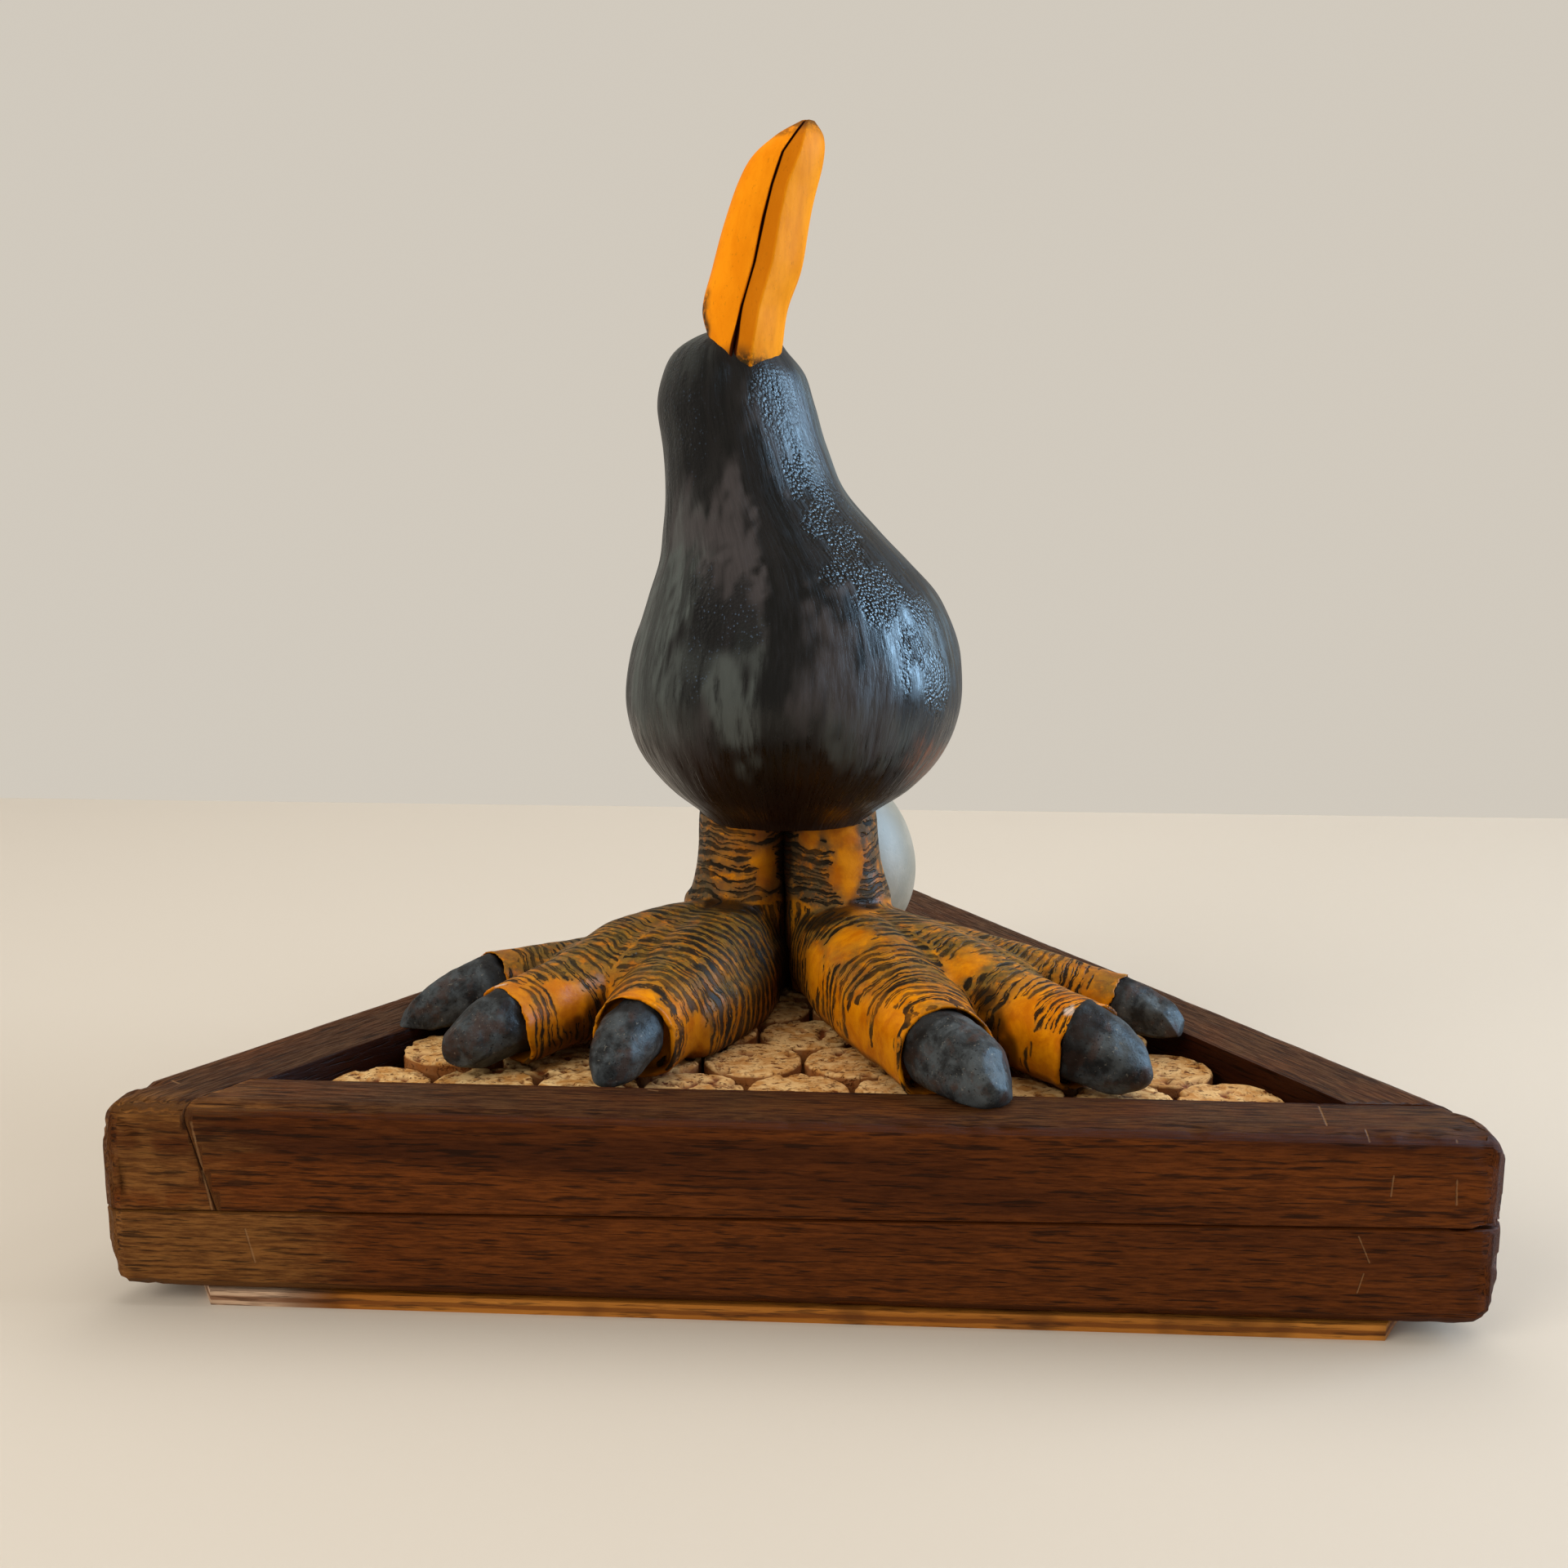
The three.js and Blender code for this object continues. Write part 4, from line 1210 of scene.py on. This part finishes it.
def make_claw(name, number):
    """A claw that starts inside its toe's socket, with flats and dents as a thumb leaves them."""
    toe = TOES[name]
    *base, half_width, half_height = toe["path"][-1]
    base, tip = np.array(base), np.array(toe["tip"])
    ahead = (tip - base) / np.linalg.norm(tip - base)
    root = base - CLAW_ROOT * ahead
    stations = []
    for share in np.linspace(0, 1, 8):
        point = root + (tip - root) * share
        size = toe["claw"] * (1 - (1 - toe["blunt"]) * share**2.2)
        point[2] += 0.08 * half_height * math.sin(math.pi * share)
        stations.append([*point, half_width * size, half_height * size])
    surface = limb_tube(stations, CLAW_SOLE, start=0.1, end=0.3)
    mesh, points, normals = tube_mesh(name, 72, 80, surface)
    chance = np.random.default_rng(50 + number)
    middle = points.mean(axis=0)
    for flat in range(CLAW_FLATS):
        facing = chance.normal(size=3) * [1, 1, 0.8]
        facing /= np.linalg.norm(facing)
        reach = (points - middle) @ facing
        over = np.maximum(reach - np.max(reach) * chance.uniform(0.8, 0.9), 0)
        points = points - facing * over[:, None] * 0.75
    dents = 0.4 * noise(points, 6, 51 + number) + 0.2 * noise(points, 2.2, 61 + number)
    moved = points + normals * dents[:, None]
    moved[:, 2] = np.maximum(moved[:, 2], REST)
    move_points(mesh, moved)
    beyond = (moved - base) @ ahead
    # Painted shade at the claw's root, inside and just out of the toe's socket
    paint(mesh, rim=0.8 * rise(2.2, 0.2, beyond + 0.8 * noise(points, 3, 71)))
    piece_of(f"{name}_claw", mesh, CLAW_GLAZE, ["bird"])


for side in LEGS:
    make_leg(side)
for number, name in enumerate(TOES):
    make_claw(name, number)


# Tray rails and plywood base

# The way each side of the tray faces, in degrees from the x axis
SIDE_TURNS = {"front": -90, "right": 30, "left": 150}
# The height of the glue line between the two layers at the tray's middle, and its slope
GLUE_LINE = 24
GLUE_TILT = 0.0135
# The strips that a rail is cut into before its surface is worn, across it and along it
STRIP_ACROSS = 1.5
STRIP_ALONG = 1.7
# The strips of the plywood sheet, up its edge and across its faces
SHEET_STRIP_UP = 0.7
SHEET_STRIP = 3
RAIL_SEEDS = {"front": 60, "right": 70, "left": 80}
# How far apart the grain of two boards is taken from the same wood
BOARD_STEP = 17.3
# How far the tray reaches to each side, and the rounds of its front corners: centre height and radius
TRAY_REACH = 147.8
CORNER_ROUNDS = [(13, 9.5), (40.5, 6)]


def copied(node):
    """A bmesh copy of a CAD node, with its loose triangles merged into flat faces."""
    bm = bmesh.new()
    bm.from_mesh(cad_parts[node].data)
    bmesh.ops.remove_doubles(bm, verts=bm.verts, dist=ONE_POINT)
    bmesh.ops.dissolve_limit(bm, angle_limit=math.radians(1), verts=bm.verts, edges=bm.edges)
    return bm


def cut_in_strips(bm, direction, spacing):
    """Cuts a bmesh across a direction every so many millimetres."""
    reach = [vert.co.dot(direction) for vert in bm.verts]
    for distance in np.arange(min(reach) + spacing * MM, max(reach), spacing * MM):
        parts = bm.verts[:] + bm.edges[:] + bm.faces[:]
        bmesh.ops.bisect_plane(bm, geom=parts, plane_co=direction * distance, plane_no=direction)


def round_corners(mesh):
    """Rounds the tray's two front corners at their top and bottom, as wear has done."""
    points = points_of(mesh)[0]
    for centre_z, radius in CORNER_ROUNDS:
        middle = np.array([TRAY_REACH - radius, centre_z])
        off = np.stack([np.abs(points[:, 0]) - middle[0], points[:, 2] - centre_z], axis=1)
        beyond = (off[:, 0] > 0) & (off[:, 1] * (centre_z - GLUE_LINE) > 0) & (points[:, 1] < -60)
        held = off * np.minimum(1, radius / np.maximum(np.linalg.norm(off, axis=1), 0.001))[:, None]
        points[:, 0] = np.where(beyond, np.sign(points[:, 0]) * (middle[0] + held[:, 0]), points[:, 0])
        points[:, 2] = np.where(beyond, centre_z + held[:, 1], points[:, 2])
    move_points(mesh, points)


def make_rail(side, layer):
    """One layer of a rail: the CAD's shape, cut fine, with dents, knocked corners and wear."""
    node = f"{side}_rail_{layer}"
    angle = math.radians(SIDE_TURNS[side])
    outward = Vector((math.cos(angle), math.sin(angle), 0))
    along = Vector((-math.sin(angle), math.cos(angle), 0))
    bm = copied(node)
    cut_in_strips(bm, Vector((0, 0, 1)), STRIP_ACROSS)
    cut_in_strips(bm, outward, STRIP_ACROSS)
    cut_in_strips(bm, along, STRIP_ALONG)
    mesh = mesh_of(bm, node)
    points, normals = points_of(mesh)
    x, y, z = points.T
    outward, along = np.array(outward), np.array(along)
    seed = RAIL_SEEDS[side] + (layer == "upper")
    edge = 1 - np.max(np.abs(np.stack([normals @ outward, normals[:, 2], normals @ along])), axis=0)
    dents = rise(0.35, 0.8, noise(points, 6, seed) + 0.6 * noise(points, 2.5, seed + 1))
    dents = dents * rise(0.03, 0.2, edge)
    relief = 0.1 * noise(points, 30, seed + 2) + 0.05 * noise(points, 3, seed + 3)
    to_glue = np.abs(z - GLUE_LINE - GLUE_TILT * x)
    relief = relief * rise(0.2, 1.5, to_glue)
    dents = dents * rise(0.5, 2, to_glue)
    battered = rise(132, 146, np.abs(x)) * rise(-60, -75, y)
    knocks = battered * rise(0.1, 0.6, noise(points, 4.5, seed + 4) + 0.4 * noise(points, 1.8, seed + 5))
    move_points(mesh, points + normals * (relief - 0.5 * dents - 0.9 * knocks)[:, None])
    round_corners(mesh)
    apart = seed * BOARD_STEP
    own = np.stack([points @ along, points @ outward, z], axis=1) + apart
    # The grain of a side rail's end that shows in front runs level too
    facing_front = rise(0.6, 0.9, -normals[:, 1])[:, None]
    own = own + facing_front * (points + apart - own)
    paint(mesh, grain=own * MM)
    wear = 0.25 * rise(0.05, 0.28, edge) + 0.2 * dents
    if side == "left" and layer == "upper":
        wear += 0.45 * rise(-70, -84, y)
    if side == "front":
        wear += rise(-70, -135, x) * (0.5 if layer == "lower" else 0.45)
        wear += 0.3 * rise(-60, -110, x) * (layer == "lower")
    # The rail's top faces, which get dust and a painted sheen
    top = rise(0.5, 0.95, normals[:, 2]) * (z > 40)
    # inner marks the faces turned into the tray, which get painted shade
    paint(mesh, wear=wear, top=top, inner=rise(-0.5, -0.9, normals @ outward))
    mesh.set_sharp_from_angle(angle=SHARP_ANGLE)
    piece_of(f"{side}_{layer}_rail", mesh, RAIL_WOOD, [node])


for side in SIDE_TURNS:
    for layer in ("lower", "upper"):
        make_rail(side, layer)


def make_base():
    """The plywood sheet under the tray, with splintered edges."""
    bm = copied("plywood_base")
    cut_in_strips(bm, Vector((0, 0, 1)), SHEET_STRIP_UP)
    cut_in_strips(bm, Vector((1, 0, 0)), SHEET_STRIP)
    cut_in_strips(bm, Vector((0, 1, 0)), SHEET_STRIP)
    mesh = mesh_of(bm, "plywood")
    points, normals = points_of(mesh)
    upright = rise(0.7, 0.2, np.abs(normals[:, 2]))
    splinters = 0.12 * noise(points, 2.5, 90) + 0.1 * noise(points * [1, 1, 2.5], 9, 91)
    move_points(mesh, points + normals * (upright * splinters)[:, None])
    mesh.set_sharp_from_angle(angle=SHARP_ANGLE)
    piece_of("plywood_sheet", mesh, PLYWOOD, ["plywood_base"])


make_base()


# Corks

CORK_SIDES = 56
# The bevel of a cork's upper edge
CORK_RIM = 0.8
# How many rings a cork's top is cut into, so that its surface can crumble, and their width
CORK_RINGS = 11
CORK_RING = 0.95


def make_cork(number):
    """One cork on end, with holes, a crumbled rim and worn sides."""
    node = f"cork_{number:02d}"
    low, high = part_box(node)
    middle = (low + high) / 2 / MM
    radius = (high.y - low.y) / 2 / MM
    top_height = high.z / MM
    chance = np.random.default_rng(number)
    bm = bmesh.new()
    depth = (high.z - low.z) / MM
    bmesh.ops.create_cone(
        bm, cap_ends=True, segments=CORK_SIDES, radius1=radius, radius2=radius, depth=depth
    )
    rim = [edge for edge in bm.edges if all(vert.co.z > 0 for vert in edge.verts)]
    bmesh.ops.bevel(bm, geom=rim, offset=CORK_RIM, segments=3, affect="EDGES", profile=0.5, material=-1)
    bmesh.ops.translate(bm, verts=bm.verts, vec=middle)
    for ring in range(CORK_RINGS):
        top = [face for face in bm.faces if face.normal.z > 0.9 and len(face.verts) > 8]
        bmesh.ops.inset_region(bm, faces=top, thickness=CORK_RING)
    bmesh.ops.scale(bm, verts=bm.verts, vec=(MM, MM, MM))
    mesh = mesh_of(bm, node)
    points, normals = points_of(mesh)
    upper = rise(top_height - 3, top_height - 1.5, points[:, 2])
    away = np.hypot(points[:, 0] - middle.x, points[:, 1] - middle.y)
    hole = rise(0.42, 0.62, noise(points, 2.3, number)) * (normals[:, 2] > 0.5)
    crumbled = rise(0.3, 0.7, noise(points, 2.8, number + 200)) * rise(radius - 3, radius - 0.5, away)
    relief = 0.35 * noise(points, 4, number + 100) - 0.9 * hole - 1.3 * crumbled
    points[:, 2] += upper * relief
    inward = (points - np.array(middle)) * [1, 1, 0] / np.maximum(away, 1)[:, None]
    near_top = rise(top_height - 6, top_height - 1, points[:, 2])
    worn_side = near_top * 0.5 * np.abs(noise(points, 2, number + 300))
    points -= inward * (upper * 1.1 * crumbled + worn_side)[:, None]
    points[:, 2] = np.minimum(points[:, 2], top_height)
    move_points(mesh, points)
    # side marks the cork's sides, which get painted shade
    paint(mesh, hole=np.maximum(hole, 0.7 * crumbled), side=rise(0.6, 0.2, normals[:, 2]))
    paint(mesh, tone=np.full(len(points), chance.uniform(0, 1)))
    piece_of(f"wine_{node}", mesh, CORK, [node])


for number in range(1, 46):
    make_cork(number)


# Egg

EGG_PLACE = (4.9, 60.5)
EGG_WIDTH = 48
EGG_HEIGHT = 54
EGG_BLUNTNESS = 0.09
# How much of its height is flat where it rests
EGG_FLAT = 0.8


def make_egg():
    def surface(turns, shares):
        angle = math.pi * (shares - 0.5)
        radius = EGG_WIDTH / 2 * np.cos(angle) * (1 - EGG_BLUNTNESS * np.sin(angle))
        z = REST - EGG_FLAT + EGG_HEIGHT / 2 * (1 + np.sin(angle))
        x = EGG_PLACE[0] + radius * np.cos(TAU * turns)
        y = EGG_PLACE[1] + radius * np.sin(TAU * turns)
        return np.stack([x, y, np.maximum(z, REST)], axis=1)

    mesh = tube_mesh("egg", 80, 60, surface)[0]
    piece_of("speckled_egg", mesh, EGG_GLAZE, ["egg"])


make_egg()


# Floor, light and finish

# Half the floor's side, and where the lamps point, in metres
FLOOR_REACH = 0.5
LIT_PLACE = Vector((0, 0, 0.12))
# The window's middle, in metres
WINDOW = (1.1, 0.14, 0.56)
# How bright the room is as light, and how bright it looks behind the object
ROOM_LIGHT = 0.54
ROOM_SEEN = 0.82


def make_floor():
    """A plain pale floor that belongs to the picture and not to the object."""
    bm = bmesh.new()
    bmesh.ops.create_grid(bm, x_segments=2, y_segments=2, size=FLOOR_REACH)
    mesh = bpy.data.meshes.new("floor")
    bm.to_mesh(mesh)
    bm.free()
    finish = material("pale_floor", Roughness=0.7, Base_Color=colour(205, 196, 184))
    mesh.materials.append(finish)
    floor = bpy.data.objects.new("floor", mesh)
    bpy.context.scene.collection.objects.link(floor)


def make_light(name, place, power, size, tint, diffuse=True, glossy=True):
    """A soft rectangular lamp that points at the bird, seen in matt or in glossy surfaces or both."""
    data = bpy.data.lights.new(name, "AREA")
    data.energy = power
    data.shape = "RECTANGLE"
    data.size, data.size_y = size
    data.color = tint
    light = bpy.data.objects.new(name, data)
    light.location = place
    light.rotation_euler = (LIT_PLACE - Vector(place)).to_track_quat("-Z", "Y").to_euler()
    light.visible_diffuse = diffuse
    light.visible_glossy = glossy
    bpy.context.scene.collection.objects.link(light)


make_floor()
# The window shines blue in the glaze, and lights the bird and the tray in a softer white
make_light("window_shine", WINDOW, 39, (0.5, 0.9), (0.42, 0.7, 1), diffuse=False)
make_light("window", WINDOW, 15, (0.6, 0.95), (0.86, 0.94, 1), glossy=False)
make_light("ceiling", (0.2, 0.4, 1.4), 13, (1.6, 1.6), (1, 0.97, 0.92), glossy=False)
make_light("fill", (-1.1, -1.1, 0.9), 20, (1.0, 1.4), (1, 0.95, 0.86), glossy=False)
world = bpy.data.worlds.new("soft_room")
world.use_nodes = True
room = Shading(world.node_tree)
background = world.node_tree.nodes["Background"]
background.inputs["Color"].default_value = colour(228, 220, 207)
seen = room.add("ShaderNodeLightPath").outputs["Is Camera Ray"]
room.fill(background.inputs["Strength"], room.step(seen, 0, 1, ROOM_LIGHT, ROOM_SEEN))
bpy.context.scene.world = world
bpy.context.scene.view_settings.view_transform = "Standard"
